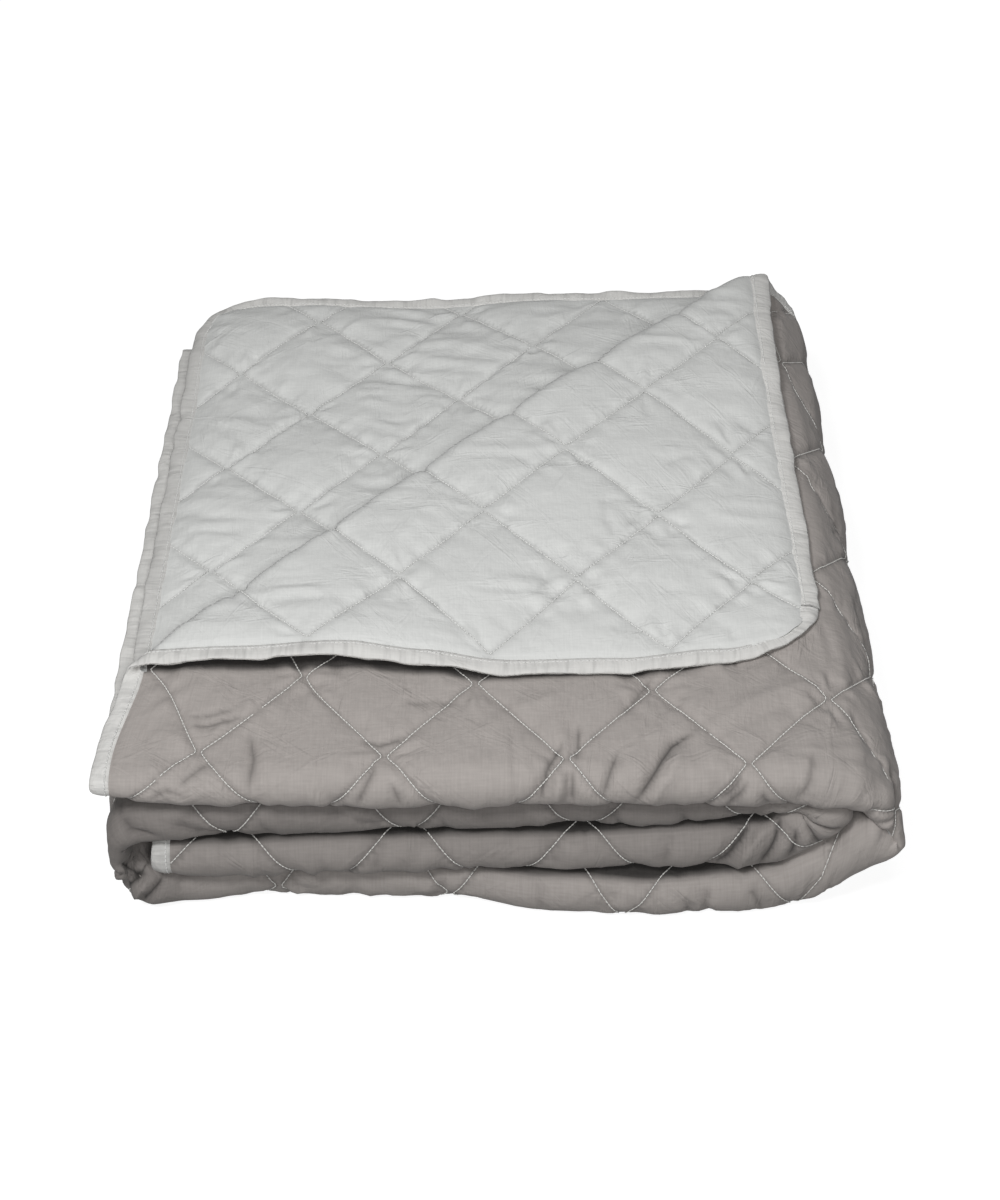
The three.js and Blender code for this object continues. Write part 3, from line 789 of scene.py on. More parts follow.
# How dark the cloth is in its grooves and where layers touch, which soft light hardly reaches.
shade = {
    "seams": {1: 0.36, -1: 0.2}, "seamReach": 1.4, "seamEnd": 9.0,
    "creases": {1: 0.5, -1: 0.2}, "creaseDepth": 3.6, "deepest": 1.5,
    "drawnFine": ((-99, 770), (1215, 1300), (1860, 1985)),  # stretches where the mesh draws creases sharp
    "elsewhere": 0.35,
    "lip": 0.88, "lipMargin": 15.0, "lipRun": 8.0, "lipPower": 1.7,
    "contacts": (  # for each column, below which place along the cloth and, at its start and end, above which
        ("topColumn", -99, 658, 658), ("bottomColumn", 627, 664, 655), ("secondColumn", 635, 658, 658),
        ("thirdColumn", 629, 662, 661),
    ),
    "flap": 0.85, "flapFrom": 380.0, "flapEdge": 3.0, "flapRun": 9.0, "flapPower": 1.5,
    "flapSpan": (70.0, 530.0, 60),  # of the corner's edge over the face, and its number of points
    "darkest": 0.88, "hidden": 0.7,
    "recess": (  # how much less light reaches each part of the roll
        ("bottomColumn", 0.1), ("secondColumn", 0.4), ("thirdColumn", 0.28), ("leftTurn", 0.42),
        ("innerTurn", 0.15),
    ),
    "recessMargin": 30.0, "recessFrom": 570.0, "recessRun": 50.0,
}


def flapFrontEdge():  # where the turned-over corner's front edge lies over the face
    places = np.linspace(*shade["flapSpan"])
    point = foldedPoint(np.zeros_like(places), places)
    order = np.argsort(point[:, 0])
    return point[order, 0], point[order, 1]


flapFrontX, flapFrontY = flapFrontEdge()


def lipShade(u, v):  # along the lines where the lips lie on each other
    total = np.zeros_like(u)
    for name, low, highAtStart, highAtEnd in shade["contacts"]:
        high = np.interp(u, (roll[name]["start"], roll[name]["end"]), (highAtStart, highAtEnd))
        run = shade["lipRun"]
        along = alongPart(u, name, shade["lipMargin"], 2 * shade["lipMargin"])
        total = total + along * (ease((low - v) / run) + ease((v - high) / run))
    return np.clip(total, 0, 1) ** shade["lipPower"] * (v < layerEnd["bottom"])


def shadeAt(u, v, side):
    offset, number = seamOffset(u, v)
    away = np.minimum(np.abs(offset), shade["seamEnd"])
    dark = shade["seams"][side] * np.exp(-away / shade["seamReach"])
    drawnFine = sum((u > left) & (u < right) for left, right in shade["drawnFine"]) > 0
    troughs = -creaseAt(u, v, side, sharp=True) * np.where(drawnFine, 1, shade["elsewhere"])
    dark = dark + shade["creases"][side] * np.clip(troughs / shade["creaseDepth"], 0, shade["deepest"])
    if side < 0:
        return 1 - np.clip(dark, 0, shade["darkest"])
    dark = np.maximum(dark, shade["lip"] * lipShade(u, v))
    onTop = (v < layerEnd["top"]) & (u < turnEnd) & (v > shade["flapFrom"])
    x, y, z = foldedPoint(u, v).T
    behind = y - np.interp(x, flapFrontX, flapFrontY)
    covered = ease((behind + shade["flapEdge"]) / shade["flapRun"])
    covered = covered * (x < flapFrontX[-1]) * (x > flapFrontX[0])
    dark = np.maximum(dark, shade["flap"] * covered ** shade["flapPower"] * onTop)
    light = 1 - np.clip(dark, 0, shade["darkest"])
    deep = ease((v - shade["recessFrom"]) / shade["recessRun"]) * (v < layerEnd["bottom"])
    for name, amount in shade["recess"]:
        along = alongPart(u, name, shade["recessMargin"], 2 * shade["recessMargin"])
        light = light * (1 - amount * along * deep)
    return light


# Flat meshes. A sheet is a list of rows across the cloth, each with its own list of places.
def evenly(start, end, step):
    count = max(1, round((end - start) / step))
    return list(start + (end - start) * np.arange(count) / count)


def zipColumns(first, firstPlaces, second, secondPlaces):  # triangles between two rows of points
    triangles = []
    i = j = 0
    while i < len(first) - 1 or j < len(second) - 1:
        if j == len(second) - 1 or (i < len(first) - 1 and firstPlaces[i + 1] <= secondPlaces[j + 1]):
            triangles.append((first[i], second[j], first[i + 1]))
            i += 1
        else:
            triangles.append((first[i], second[j], second[j + 1]))
            j += 1
    return triangles


def roundCorners(u, v, edge):  # moves the points of a square corner into a round one
    radius = quilt["cornerRadius"]
    centreU = np.where(u < radius, radius, clothWidth - radius)
    centreV = np.where(v < radius, radius, clothLength - radius)
    inCorner = inRoundCorner(u, v)
    du = u - centreU
    dv = v - centreV
    reach = radius - edge
    p = np.clip(du / reach, -1, 1)
    q = np.clip(dv / reach, -1, 1)
    roundU = centreU + du * np.sqrt(1 - q * q / 2)
    roundV = centreV + dv * np.sqrt(1 - p * p / 2)
    return np.where(inCorner, roundU, u), np.where(inCorner, roundV, v), inCorner


snap = {  # how points move onto a seam or a crease; the outermost ones stay where they are
    "rounds": 3, "rim": 0.1, "creaseRim": 20.0, "creaseReach": 3.2,
}


def flatSheet(rows, edge, side):  # with a side, its points move onto that side's seams and creases
    starts = np.cumsum([0] + [len(places) for v, places in rows])
    us = np.concatenate([np.array(places) for v, places in rows])
    vs = np.concatenate([np.full(len(places), v) for v, places in rows])
    gap = [np.minimum(np.diff(places, prepend=-99), np.diff(places, append=9999)) for v, places in rows]
    gap = np.concatenate(gap)
    us, vs, inCorner = roundCorners(us, vs, edge)
    seam = np.full(len(us), noSeam)
    if side:
        offset, number = seamOffset(us, vs)
        rim = edge + snap["rim"]
        near = (np.abs(offset) < gap * 0.5) & ~inCorner & (us > rim) & (us < clothWidth - rim)
        for attempt in range(snap["rounds"]):
            us = np.where(near, us - offset, us)
            offset = np.where(near, seamOffset(us, vs)[0], 0)
        seam = np.where(near, number, seam)
        free = ~near & ~inCorner & (edgeDistance(us, vs) > snap["creaseRim"])
        folded = snapToCreases(us, vs, side, np.minimum(gap, snap["creaseReach"]), free)
        seam = np.where(folded > 0, folded, seam)
    triangles = []
    for i in range(len(rows) - 1):
        first = np.arange(starts[i], starts[i + 1])
        second = np.arange(starts[i + 1], starts[i + 2])
        if rows[i][1] is rows[i + 1][1]:
            a, b, c, d = first[:-1], first[1:], second[1:], second[:-1]
            alongSeam = ((seam[b] == seam[d]) & (seam[b] > noSeam))[:, None]
            triangles.append(np.where(alongSeam, np.stack([a, b, d], 1), np.stack([a, b, c], 1)))
            triangles.append(np.where(alongSeam, np.stack([b, c, d], 1), np.stack([a, c, d], 1)))
        else:
            zipped = zipColumns(list(first), rows[i][1], list(second), rows[i + 1][1])
            triangles.append(np.array(zipped)[:, ::-1])
    last = len(rows) - 1
    outline = [int(starts[k]) for k in range(last, -1, -1)]
    outline += list(range(starts[0] + 1, starts[1]))
    outline += [int(starts[k + 1]) - 1 for k in range(1, last + 1)]
    outline += list(range(starts[last] + 1, starts[last + 1] - 1))[::-1]
    return us, vs, np.concatenate(triangles), outline


def alongRun(us, vs):  # how far along a run of points each one lies
    return np.concatenate([[0], np.cumsum(np.hypot(np.diff(us), np.diff(vs)))])


def makeMesh(name, points, triangles, us, vs, material, shades=None):
    mesh = bpy.data.meshes.new(name)
    mesh.vertices.add(len(points))
    shifted = (points + np.array(quilt["modelShift"])) * millimetre
    mesh.vertices.foreach_set("co", shifted.astype(np.float32).ravel())
    mesh.loops.add(3 * len(triangles))
    mesh.loops.foreach_set("vertex_index", triangles.astype(np.int32).ravel())
    mesh.polygons.add(len(triangles))
    mesh.polygons.foreach_set("loop_start", np.arange(0, 3 * len(triangles), 3, dtype=np.int32))
    mesh.update(calc_edges=True)
    mesh.validate()
    uvLayer = mesh.uv_layers.new(name="flatCloth")
    flat = np.stack([us[triangles.ravel()], vs[triangles.ravel()]], 1) * millimetre
    uvLayer.data.foreach_set("uv", flat.astype(np.float32).ravel())
    # each point carries its painted shade: 1 where none is painted
    shades = np.ones(len(points)) if shades is None else shades
    attribute = mesh.attributes.new("paintedShade", "FLOAT", "POINT")
    attribute.data.foreach_set("value", shades.astype(np.float32))
    mesh.polygons.foreach_set("use_smooth", np.ones(len(triangles), bool))
    mesh.materials.append(material)
    piece = bpy.data.objects.new(name, mesh)
    bpy.context.scene.collection.objects.link(piece)
    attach(piece, "root")
    print(name, len(triangles), "triangles")
    return piece


# Materials. Their patterns run on the flat cloth, so that they follow every fold.
def linear(hexColour):
    channels = [int(hexColour[i:i + 2], 16) / 255 for i in (1, 3, 5)]
    return tuple(c / 12.92 if c <= 0.04045 else ((c + 0.055) / 1.055) ** 2.4 for c in channels) + (1.0,)


def addNode(tree, kind, settings, output=0):  # a setting is a value, or the output that it is linked to
    node = tree.nodes.new(kind)
    for key, value in settings.items():
        if isinstance(value, bpy.types.NodeSocket):
            tree.links.new(value, node.inputs[key])
        elif isinstance(key, int) or key in node.inputs.keys():
            node.inputs[key].default_value = value
        else:
            setattr(node, key, value)
    return node.outputs[output]


def newMaterial(name):
    material = bpy.data.materials.new(name)
    material.use_nodes = True
    tree = material.node_tree
    return material, tree, tree.nodes["Principled BSDF"]


weave = {  # lengths in millimetres of the flat cloth, and contrasts as shares of the cloth's brightness
    # Cotton threads lie about 0.3 mm apart, too fine to show. Only the thicker ones (slubs) are drawn,
    # about four threads wide.
    "slubLength": 18.0, "slubWidth": 1.3, "slubContrast": 0.2, "slubDepth": 0.3, "slubStrength": 0.25,
    "cloudSize": 200.0, "cloudContrast": 0.05,  # the dye's own unevenness
    "creaseLength": 40.0, "creaseWidth": 8.0, "creaseDepth": 2.4,
    "creaseRuns": ((0.45, 1.0), (-0.6, 0.8), (1.45, 0.7)),  # direction and size of each set of creases
    "creaseBend": 0.5, "patchScale": 0.35, "patchFrom": 0.49, "patchTo": 0.68,  # they come in patches
    "crumpleSize": 6.25, "crumpleDepth": 0.6,
    # Pleats lie on the tape only. Shade is painted into them, darkest where their noise is least.
    "pleatLength": 30.0, "pleatWidth": 4.5, "pleatDepth": 0.9,
    "pleatShade": 0.84, "pleatDarkest": 0.3, "pleatPlain": 0.5,
    "roughness": 0.82, "specular": 0.3, "sheen": 0.1, "sheenRoughness": 0.5,
}


def clothLumps(tree, uv, alongU, alongV, detail):  # lumps of a length along and across the cloth
    scale = (1 / (alongU * millimetre), 1 / (alongV * millimetre), 1)
    place = addNode(tree, "ShaderNodeMapping", {"Scale": scale, "Vector": uv})
    return addNode(tree, "ShaderNodeTexNoise", {"Scale": 1.0, "Detail": detail, "Vector": place})


def creaseField(tree, uv, turn, size):  # sharp little folds that run one way, in patches
    along = weave["creaseLength"] * millimetre * size
    sideways = weave["creaseWidth"] * millimetre * size
    scale = (1 / along, 1 / sideways, 1)
    turned = addNode(tree, "ShaderNodeMapping", {"Rotation": (0, 0, turn), "Vector": uv})
    place = addNode(tree, "ShaderNodeMapping", {"Scale": scale, "Vector": turned})
    noise = addNode(tree, "ShaderNodeTexNoise",
                    {"Scale": 1.0, "Detail": 2.0, "Distortion": weave["creaseBend"], "Vector": place})
    middle = addNode(tree, "ShaderNodeMath", {"operation": "SUBTRACT", 0: noise, 1: 0.5})
    fold = addNode(tree, "ShaderNodeMath", {"operation": "ABSOLUTE", 0: middle})
    patch = addNode(tree, "ShaderNodeTexNoise",
                    {"Scale": weave["patchScale"], "Detail": 1.0, "Vector": place})
    amount = addNode(tree, "ShaderNodeMapRange",
                     {"Value": patch, "From Min": weave["patchFrom"], "From Max": weave["patchTo"]})
    return addNode(tree, "ShaderNodeMath", {"operation": "MULTIPLY", 0: fold, 1: amount})


def cottonCloth(name, colour, contrast, relief, pleats=False):
    material, tree, shader = newMaterial(name)
    w = weave
    uv = addNode(tree, "ShaderNodeUVMap", {"uv_map": "flatCloth"})
    alongWidth = clothLumps(tree, uv, w["slubLength"], w["slubWidth"], 1.0)
    alongLength = clothLumps(tree, uv, w["slubWidth"], w["slubLength"], 1.0)
    slub = addNode(tree, "ShaderNodeMath", {"operation": "ADD", 0: alongWidth, 1: alongLength})
    cloud = addNode(tree, "ShaderNodeTexNoise",
                    {"Scale": 1 / (w["cloudSize"] * millimetre), "Detail": 2.0, "Vector": uv})
    # The tone goes a few hundredths up and down round the cloth's own colour.
    byThread = w["slubContrast"] * contrast
    lowest = 1 - byThread - w["cloudContrast"] / 2
    tone = addNode(tree, "ShaderNodeMath", {"operation": "MULTIPLY_ADD", 0: slub, 1: byThread, 2: lowest})
    tone = addNode(tree, "ShaderNodeMath",
                   {"operation": "MULTIPLY_ADD", 0: cloud, 1: w["cloudContrast"], 2: tone})
    # Painted shade: the tone is multiplied by the shade each mesh carries, dark in grooves and creases, where
    # layers touch, under the turned-over corner's edge, in recesses and on hidden sides.
    groove = addNode(tree, "ShaderNodeAttribute", {"attribute_name": "paintedShade"}, "Fac")
    tone = addNode(tree, "ShaderNodeMath", {"operation": "MULTIPLY", 0: tone, 1: groove})
    if pleats:  # small folds across the tape, dark where they are deep
        # painted shade: the tape's tone is darker where the pleats are deep
        pleat = clothLumps(tree, uv, w["pleatWidth"], w["pleatLength"], 2.0)
        dark = addNode(tree, "ShaderNodeMapRange", {
            "Value": pleat, "From Min": w["pleatDarkest"], "From Max": w["pleatPlain"],
            "To Min": w["pleatShade"], "To Max": 1.0,
        })
        tone = addNode(tree, "ShaderNodeMath", {"operation": "MULTIPLY", 0: tone, 1: dark})
    tinted = addNode(tree, "ShaderNodeMix", {"data_type": "RGBA", "blend_type": "MULTIPLY", 0: 1.0,
                                             6: linear(colour), 7: tone}, 2)
    tree.links.new(tinted, shader.inputs["Base Color"])
    shader.inputs["Roughness"].default_value = w["roughness"]
    shader.inputs["Specular IOR Level"].default_value = w["specular"]
    shader.inputs["Sheen Weight"].default_value = w["sheen"]
    shader.inputs["Sheen Roughness"].default_value = w["sheenRoughness"]
    fields = [creaseField(tree, uv, turn, size) for turn, size in w["creaseRuns"]]
    creased = fields[0]
    for field in fields[1:]:
        creased = addNode(tree, "ShaderNodeMath", {"operation": "ADD", 0: creased, 1: field})
    crumple = addNode(tree, "ShaderNodeTexNoise",
                      {"Scale": 1 / (w["crumpleSize"] * millimetre), "Detail": 2.0, "Vector": uv})
    reliefs = [  # height, strength and depth of each, from the largest to the finest
        (creased, 1.0, w["creaseDepth"] * relief), (crumple, 1.0, w["crumpleDepth"] * relief),
        (slub, w["slubStrength"], w["slubDepth"]),
    ]
    if pleats:
        reliefs.append((pleat, 1.0, w["pleatDepth"]))
    normal = None
    for height, strength, depth in reliefs:
        settings = {"Strength": strength, "Distance": depth * millimetre, "Height": height}
        if normal:
            settings["Normal"] = normal
        normal = addNode(tree, "ShaderNodeBump", settings)
    tree.links.new(normal, shader.inputs["Normal"])
    return material


thread = {"roughness": 0.55, "sheen": 0.2}


def threadMaterial(name, colour):
    material, tree, shader = newMaterial(name)
    shader.inputs["Base Color"].default_value = linear(colour)
    shader.inputs["Roughness"].default_value = thread["roughness"]
    shader.inputs["Sheen Weight"].default_value = thread["sheen"]
    return material


# Plain-woven cotton, dyed taupe and washed: matt, with faint short lines where threads are thicker,
# and soft wrinkles all over.
taupeCotton = cottonCloth("taupe woven cotton", "#a49e9a", 1.0, 1.0)
# The same cotton in pale grey. Its lines show less, because pale cloth scatters light into them.
greyCotton = cottonCloth("pale grey woven cotton", "#d6d7d5", 0.6, 0.8)
# Cotton tape, folded double and sewn on: smoother than the cloth, with little folds across it and shade
# painted into them.
tapeCotton = cottonCloth("pale grey cotton tape", "#dbdad7", 0.6, 0.6, pleats=True)
# Spun polyester thread: smoother than cotton, so that each stitch catches a little light.
seamThread = threadMaterial("grey polyester sewing thread", "#d9d8d4")
paleThread = threadMaterial("pale polyester sewing thread", "#dcdcda")
print("materials made")


# The two cloths. Their points are close together where the cloth shows and far apart where it
# doesn't. Each band starts at a place along the cloth and has its step, and then its stretches
# across, each with its start and its step.
e = layerEnd
hiddenBands = [
    (e["outerBend"] + 36, 20, ((0, 16),)), (e["bottom"] - 12, 3.4, ((0, 5.5),)),
    (e["backBend"] + 12, 26, ((0, 16),)), (e["third"] - 12, 4.5, ((0, 16),)),
    (e["innerBend"] + 12, 26, ((0, 16),)),
]
faceBands = [
    (0, 4.6, ((0, 18), (496, 4.3), (turnEnd, 17), (1195, 4.6), (1375, 17))),
    (425, 2.6, ((0, 2.6), (640, 4.2), (turnEnd, 17), (1195, 4.6), (1375, 17))),
    (e["top"] - 34, 2.4, ((0, 2.5), (770, 4.4), (1215, 2.6), (1300, 4.4), (1860, 2.6), (1985, 4.4))),
    (e["outerBend"], 5, ((0, 9),)),
] + hiddenBands
lipAcross = ((0, 16), (1180, 3.5), (1420, 16), (1780, 3.5), (1990, 16))
reverseBands = [
    (0, 3.3, ((0, 3.2), (e["top"] - 95, 18))), (110, 3.3, ((0, 3.2), (430, 18))),
    (220, 3.3, ((0, 3.2), (320, 18))), (330, 3.3, ((0, 3.2), (210, 18))),
    (430, 3.3, ((0, 3.2), (110, 18))), (545, 18, ((0, 18),)), (e["top"] - 24, 4, lipAcross),
] + hiddenBands[:4] + [
    (e["innerBend"] + 12, 3.9, ((0, 3.6), (130, 18))), (1850, 3.9, ((0, 3.6), (220, 18))),
    (1940, 3.7, ((0, 3.5), (310, 18))), (2030, 3.6, ((0, 3.5), (400, 18))),
    (2120, 3.5, ((0, 3.5), (490, 18))), (2210, 3.5, ((0, 3.5), (516, 18))),
]


def sheetRows(bands, edge):
    rows = []
    for i, (start, step, stretches) in enumerate(bands):
        stop = bands[i + 1][0] if i + 1 < len(bands) else clothLength - edge
        places = []
        for k, (u, stepAcross) in enumerate(stretches):
            end = stretches[k + 1][0] if k + 1 < len(stretches) else clothWidth - edge
            places += evenly(max(u, edge), end, stepAcross)
        places.append(clothWidth - edge)
        rows += [(v, places) for v in evenly(max(start, edge), stop, step)]
    rows.append((clothLength - edge, rows[-1][1]))
    return rows


def everyThird(rows):  # a coarser sheet, for the cloth's hidden side
    result = []
    previous = None
    for i, (v, places) in enumerate(rows):
        atChange = i + 1 == len(rows) or rows[i + 1][1] is not places or (i and rows[i - 1][1] is not places)
        if i % 3 == 0 or atChange:
            if previous is None or previous[0] is not places:
                previous = (places, [u for k, u in enumerate(places) if k % 3 == 0 or k == len(places) - 1])
            result.append((v, previous[1]))
    return result


def makeCloth(name, bands, side, material, slot):  # an outer and a hidden side, closed by a rim
    edge = quilt["underBinding"]
    rows = sheetRows(bands, edge)
    us, vs, triangles, outline = flatSheet(rows, edge, side)
    backUs, backVs, backTriangles, backOutline = flatSheet(everyThird(rows), edge, 0)
    points = np.concatenate([surfacePoint(us, vs, side), hiddenPoint(backUs, backVs, side)])
    count = len(us)
    rimOuter = outline + [outline[0]]
    rimInner = backOutline + [backOutline[0]]
    rim = zipColumns(rimOuter, alongRun(us[rimOuter], vs[rimOuter]),
                     [count + i for i in rimInner], alongRun(backUs[rimInner], backVs[rimInner]))
    allTriangles = np.concatenate([triangles[:, ::-1], backTriangles + count, np.array(rim)])
    if side < 0:
        allTriangles = allTriangles[:, ::-1]
    shades = inBlocks(lambda u, v: shadeAt(u, v, side), us, vs)
    # the cloth's hidden side gets an even painted shade
    shades = np.concatenate([shades, np.full(len(backUs), shade["hidden"])])
    piece = makeMesh(name, points, allTriangles, np.concatenate([us, backUs]), np.concatenate([vs, backVs]),
                     material, shades)
    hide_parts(slot)


makeCloth("faceCloth", faceBands, 1, taupeCotton, "face_cloth")
makeCloth("reverseCloth", reverseBands, -1, greyCotton, "reverse_cloth")


# The binding: one tape round the edge, folded over it.
binding = {
    "half": 1.75, "step": 3.6,
    "profile": (  # places in from the outline, and heights as shares of the half thickness
        (14.9, 0.25), (14.3, 1.05), (12.2, 0.96), (8.5, 1.2), (4.5, 1.1), (1.6, 0.85), (0.4, 0.4),
        (0.4, -0.4), (1.6, -0.85), (4.5, -1.1), (8.5, -1.2), (12.2, -0.96), (14.3, -1.05), (14.9, -0.25),
    ),
    "inward": 0.6, "driftReach": 15.0, "waveReach": 8.0,  # drift and waves die away inwards within these
    # Each kind of unevenness has its lumps' length, its own row of the table of noise and its amount.
    "drift": (14.0, 40.0, 1.1),  # of the outline, in and out
    "wave": (30.0, 20.0, 2.2), "smallWave": (11.0, 5.0, 1.0),  # of the tape's outer part, up and down
    "swelling": (17.0, 9.0, 0.7),  # of the tape between its seams
    "pucker": (6.5, 3.0, 0.9), "puckerInCorner": 1.9, "puckerAcross": 16.0, "slant": 0.5, "fullness": 0.15,
    "seamedTo": 0.4, "seamedFrom": 13.4, "atSeam": 0.2,  # the tape swells less near its seams
    "flatUnder": 40.0,  # the tape's other half has its own part of the flat pattern
    # Less light reaches the tape between the layers, at the end of the roll and along its start.
    "shadeWithin": 30.0, "pocketShade": 0.22, "pocketFrom": 560.0, "pocketRun": 50.0,
    "leftShade": 0.07, "leftShadeUnder": 0.14,
}


def outlineRun(edge, places):  # points of the rounded outline, by place along its straight middle line
    radius = quilt["cornerRadius"]
    left, right, near, far = radius, clothWidth - radius, radius, clothLength - radius
    sides = (  # start and direction of each side, and the middle of the corner after it
        (left, edge, 1, 0, right, near), (clothWidth - edge, near, 0, 1, right, far),
        (right, clothLength - edge, -1, 0, left, far), (edge, far, 0, -1, left, near),
    )
    arc = halfTurn / 2 * radius
    u = np.zeros_like(places)
    v = np.zeros_like(places)
    start = 0.0
    for i, (startU, startV, alongU, alongV, middleU, middleV) in enumerate(sides):
        length = far - near if i % 2 else right - left
        on = (places >= start) & (places <= start + length)
        u[on] = startU + alongU * (places[on] - start)
        v[on] = startV + alongV * (places[on] - start)
        start += length
        on = (places > start) & (places < start + arc)
        angle = (i - 1) * halfTurn / 2 + (places[on] - start) / radius
        u[on] = middleU + (radius - edge) * np.cos(angle)
        v[on] = middleV + (radius - edge) * np.sin(angle)
        start += arc
    return u, v


def outlineLength():
    radius = quilt["cornerRadius"]
    return 2 * (clothWidth + clothLength - 4 * radius) + 2 * halfTurn * radius


def ripple(places, length, row, amount):
    return unevenness(places / length, np.full_like(places, row)) * amount


def bindingRing(edge, share, places):  # one line of points all along the tape, with its shades
    b = binding
    moved = ripple(places, *b["drift"]) * (1 - edge / b["driftReach"]) + b["inward"]
    u, v = outlineRun(edge, places)
    inU, inV = outlineRun(edge + 1, places)
    u = u + (inU - u) * moved
    v = v + (inV - v) * moved
    slant = places + b["slant"] * edge
    length, row, amount = b["pucker"]
    amount = np.where(inRoundCorner(u, v), b["puckerInCorner"], amount)
    swelling = ripple(slant, length, row + edge / b["puckerAcross"], amount) + ripple(slant, *b["swelling"])
    swelling = np.maximum(swelling + b["fullness"], 0)
    inward = np.clip((edge - b["seamedTo"]) / (b["seamedFrom"] - b["seamedTo"]), 0, 1)
    free = math.sin(halfTurn * inward) * (1 - b["atSeam"]) + b["atSeam"]
    outer = max(1 - edge / b["waveReach"], 0)
    wave = (ripple(places, *b["wave"]) + ripple(places, *b["smallWave"])) * outer
    height = share * b["half"] + np.sign(share) * swelling * free + wave
    points = inBlocks(foldedPoint, u, v) + inBlocks(faceNormal, u, v) * height[:, None]
    atPocket = (u > clothWidth - b["shadeWithin"]) * ease((v - b["pocketFrom"]) / b["pocketRun"])
    atLeft = np.where(v > layerEnd["innerBend"], b["leftShadeUnder"], b["leftShade"]) * (u < b["shadeWithin"])
    return onFloor(points), 1 - b["pocketShade"] * atPocket * (v < layerEnd["bottom"]) - atLeft


def makeBinding():
    places = np.array(evenly(0, outlineLength(), binding["step"]))
    rings = [bindingRing(edge, share, places) for edge, share in binding["profile"]]
    points = np.stack([ring for ring, shades in rings], 1).reshape(-1, 3)
    shades = np.stack([shades for ring, shades in rings], 1).ravel()
    flatAcross = [edge + (binding["flatUnder"] if share < 0 else 0) for edge, share in binding["profile"]]
    count = len(places)
    width = len(rings)
    i = np.repeat(np.arange(count), width)
    k = np.tile(np.arange(width), count)
    nextI = (i + 1) % count
    nextK = (k + 1) % width
    a, b, c, d = i * width + k, nextI * width + k, nextI * width + nextK, i * width + nextK
    triangles = np.concatenate([np.stack([a, b, c], 1), np.stack([a, c, d], 1)])
    piece = makeMesh("edgeBinding", points, triangles, np.repeat(places, width), np.tile(flatAcross, count),
                     tapeCotton, shades)
    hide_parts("binding")


makeBinding()

# Stitches: one small thread after another along each seam, lowest at both ends. The thread is drawn
# about three times as thick as a real one, so that it shows.
stitch = {
    "pitch": 3.2, "length": 3.9, "radius": 0.45, "wide": 1.15, "height": 0.45, "endHeight": 0.1,
    "shares": (0.0, 0.25, 0.75, 1.0),  # of its length, at its end, its two rings of points and its other end
    "shortestRun": 3, "firstNumber": -2, "firstQ": -1.5, "stepQ": 0.012,
    "tapeEdge": 12.2, "tapeStep": 1.5, "tapeHeight": 0.92,  # the seam along the binding
}
stitched = {  # the seams have their stitches where they show, and a little further
    "outerBend": 30.0, "turn": 20.0, "hiddenU": 440.0, "hiddenV": 400.0,
    "turnWindow": (1195.0, 1375.0, 638.0),  # what shows of the left turn's top
    "lipFrom": 75.0, "lipTo": 45.0, "crumpled": (1228.0, 1362.0, 642.0), "back": 25.0,
    "overCrease": 6.0, "innerBend": 20.0, "underCorner": 30.0,
}


def makeStitches(name, runs, side, material, surface):
    flatUs = []
    flatVs = []
    for us, vs in runs:
        places = alongRun(us, vs)
        starts = np.arange(0, places[-1] - stitch["length"], stitch["pitch"])
        at = starts + np.array(stitch["shares"])[:, None] * stitch["length"]
        flatUs.append(np.interp(at, places, us))
        flatVs.append(np.interp(at, places, vs))
    flatUs = np.concatenate(flatUs, 1)
    flatVs = np.concatenate(flatVs, 1)
    heights = (stitch["endHeight"], stitch["height"], stitch["height"], stitch["endHeight"])
    centres = [surface(u, v, side, height) for u, v, height in zip(flatUs, flatVs, heights)]
    along = centres[3] - centres[0]
    along /= np.linalg.norm(along, axis=1, keepdims=True)
    up = inBlocks(faceNormal, flatUs[1], flatVs[1]) * side
    sideways = np.cross(along, up)
    sideways /= np.linalg.norm(sideways, axis=1, keepdims=True)
    up = np.cross(sideways, along)
    rings = [centres[0]]
    for centre in centres[1:3]:
        for a, b in ((1, 0), (0, 1), (-1, 0), (0, -1)):
            rings.append(centre + (sideways * a * stitch["wide"] + up * b) * stitch["radius"])
    rings.append(centres[3])
    faces = []  # of one stitch, from its end over its two rings of four points to its other end
    for k in range(4):
        nextK = (k + 1) % 4
        faces += [(0, 1 + nextK, 1 + k), (1 + k, 1 + nextK, 5 + nextK), (1 + k, 5 + nextK, 5 + k)]
        faces.append((9, 5 + k, 5 + nextK))
    size = len(rings)
    triangles = (np.array(faces) + size * np.arange(len(along))[:, None, None]).reshape(-1, 3)
    points = np.stack(rings, 1).reshape(-1, 3)
    makeMesh(name, points, triangles, np.repeat(flatUs[1], size), np.repeat(flatVs[1], size), material)


def seamRuns(shown):  # the stretches of every zigzag seam where shown(u, v) is true
    runs = []
    pitch = pattern["pitch"]
    edge = quilt["bindingWidth"] - 1
    radius = quilt["cornerRadius"]
    q = np.arange(stitch["firstQ"], clothLength / pitch + 3, stitch["stepQ"])
    for number in range(stitch["firstNumber"], int(2 * (clothWidth / pitch + 2))):
        p = seamPlace(np.full_like(q, number), q)
        u, v = onCloth(p, q, p * pitch, q * pitch)
        cornerU = np.maximum(np.maximum(radius - u, u - clothWidth + radius), 0)
        cornerV = np.maximum(np.maximum(radius - v, v - clothLength + radius), 0)
        inside = (edgeDistance(u, v) > edge) & (np.hypot(cornerU, cornerV) < radius - edge) & shown(u, v)
        changes = np.flatnonzero(np.diff(np.concatenate([[0], inside.astype(int), [0]])))
        for start, end in zip(changes[::2], changes[1::2]):
            if end - start > stitch["shortestRun"]:
                runs.append((u[start:end], v[start:end]))
    return runs


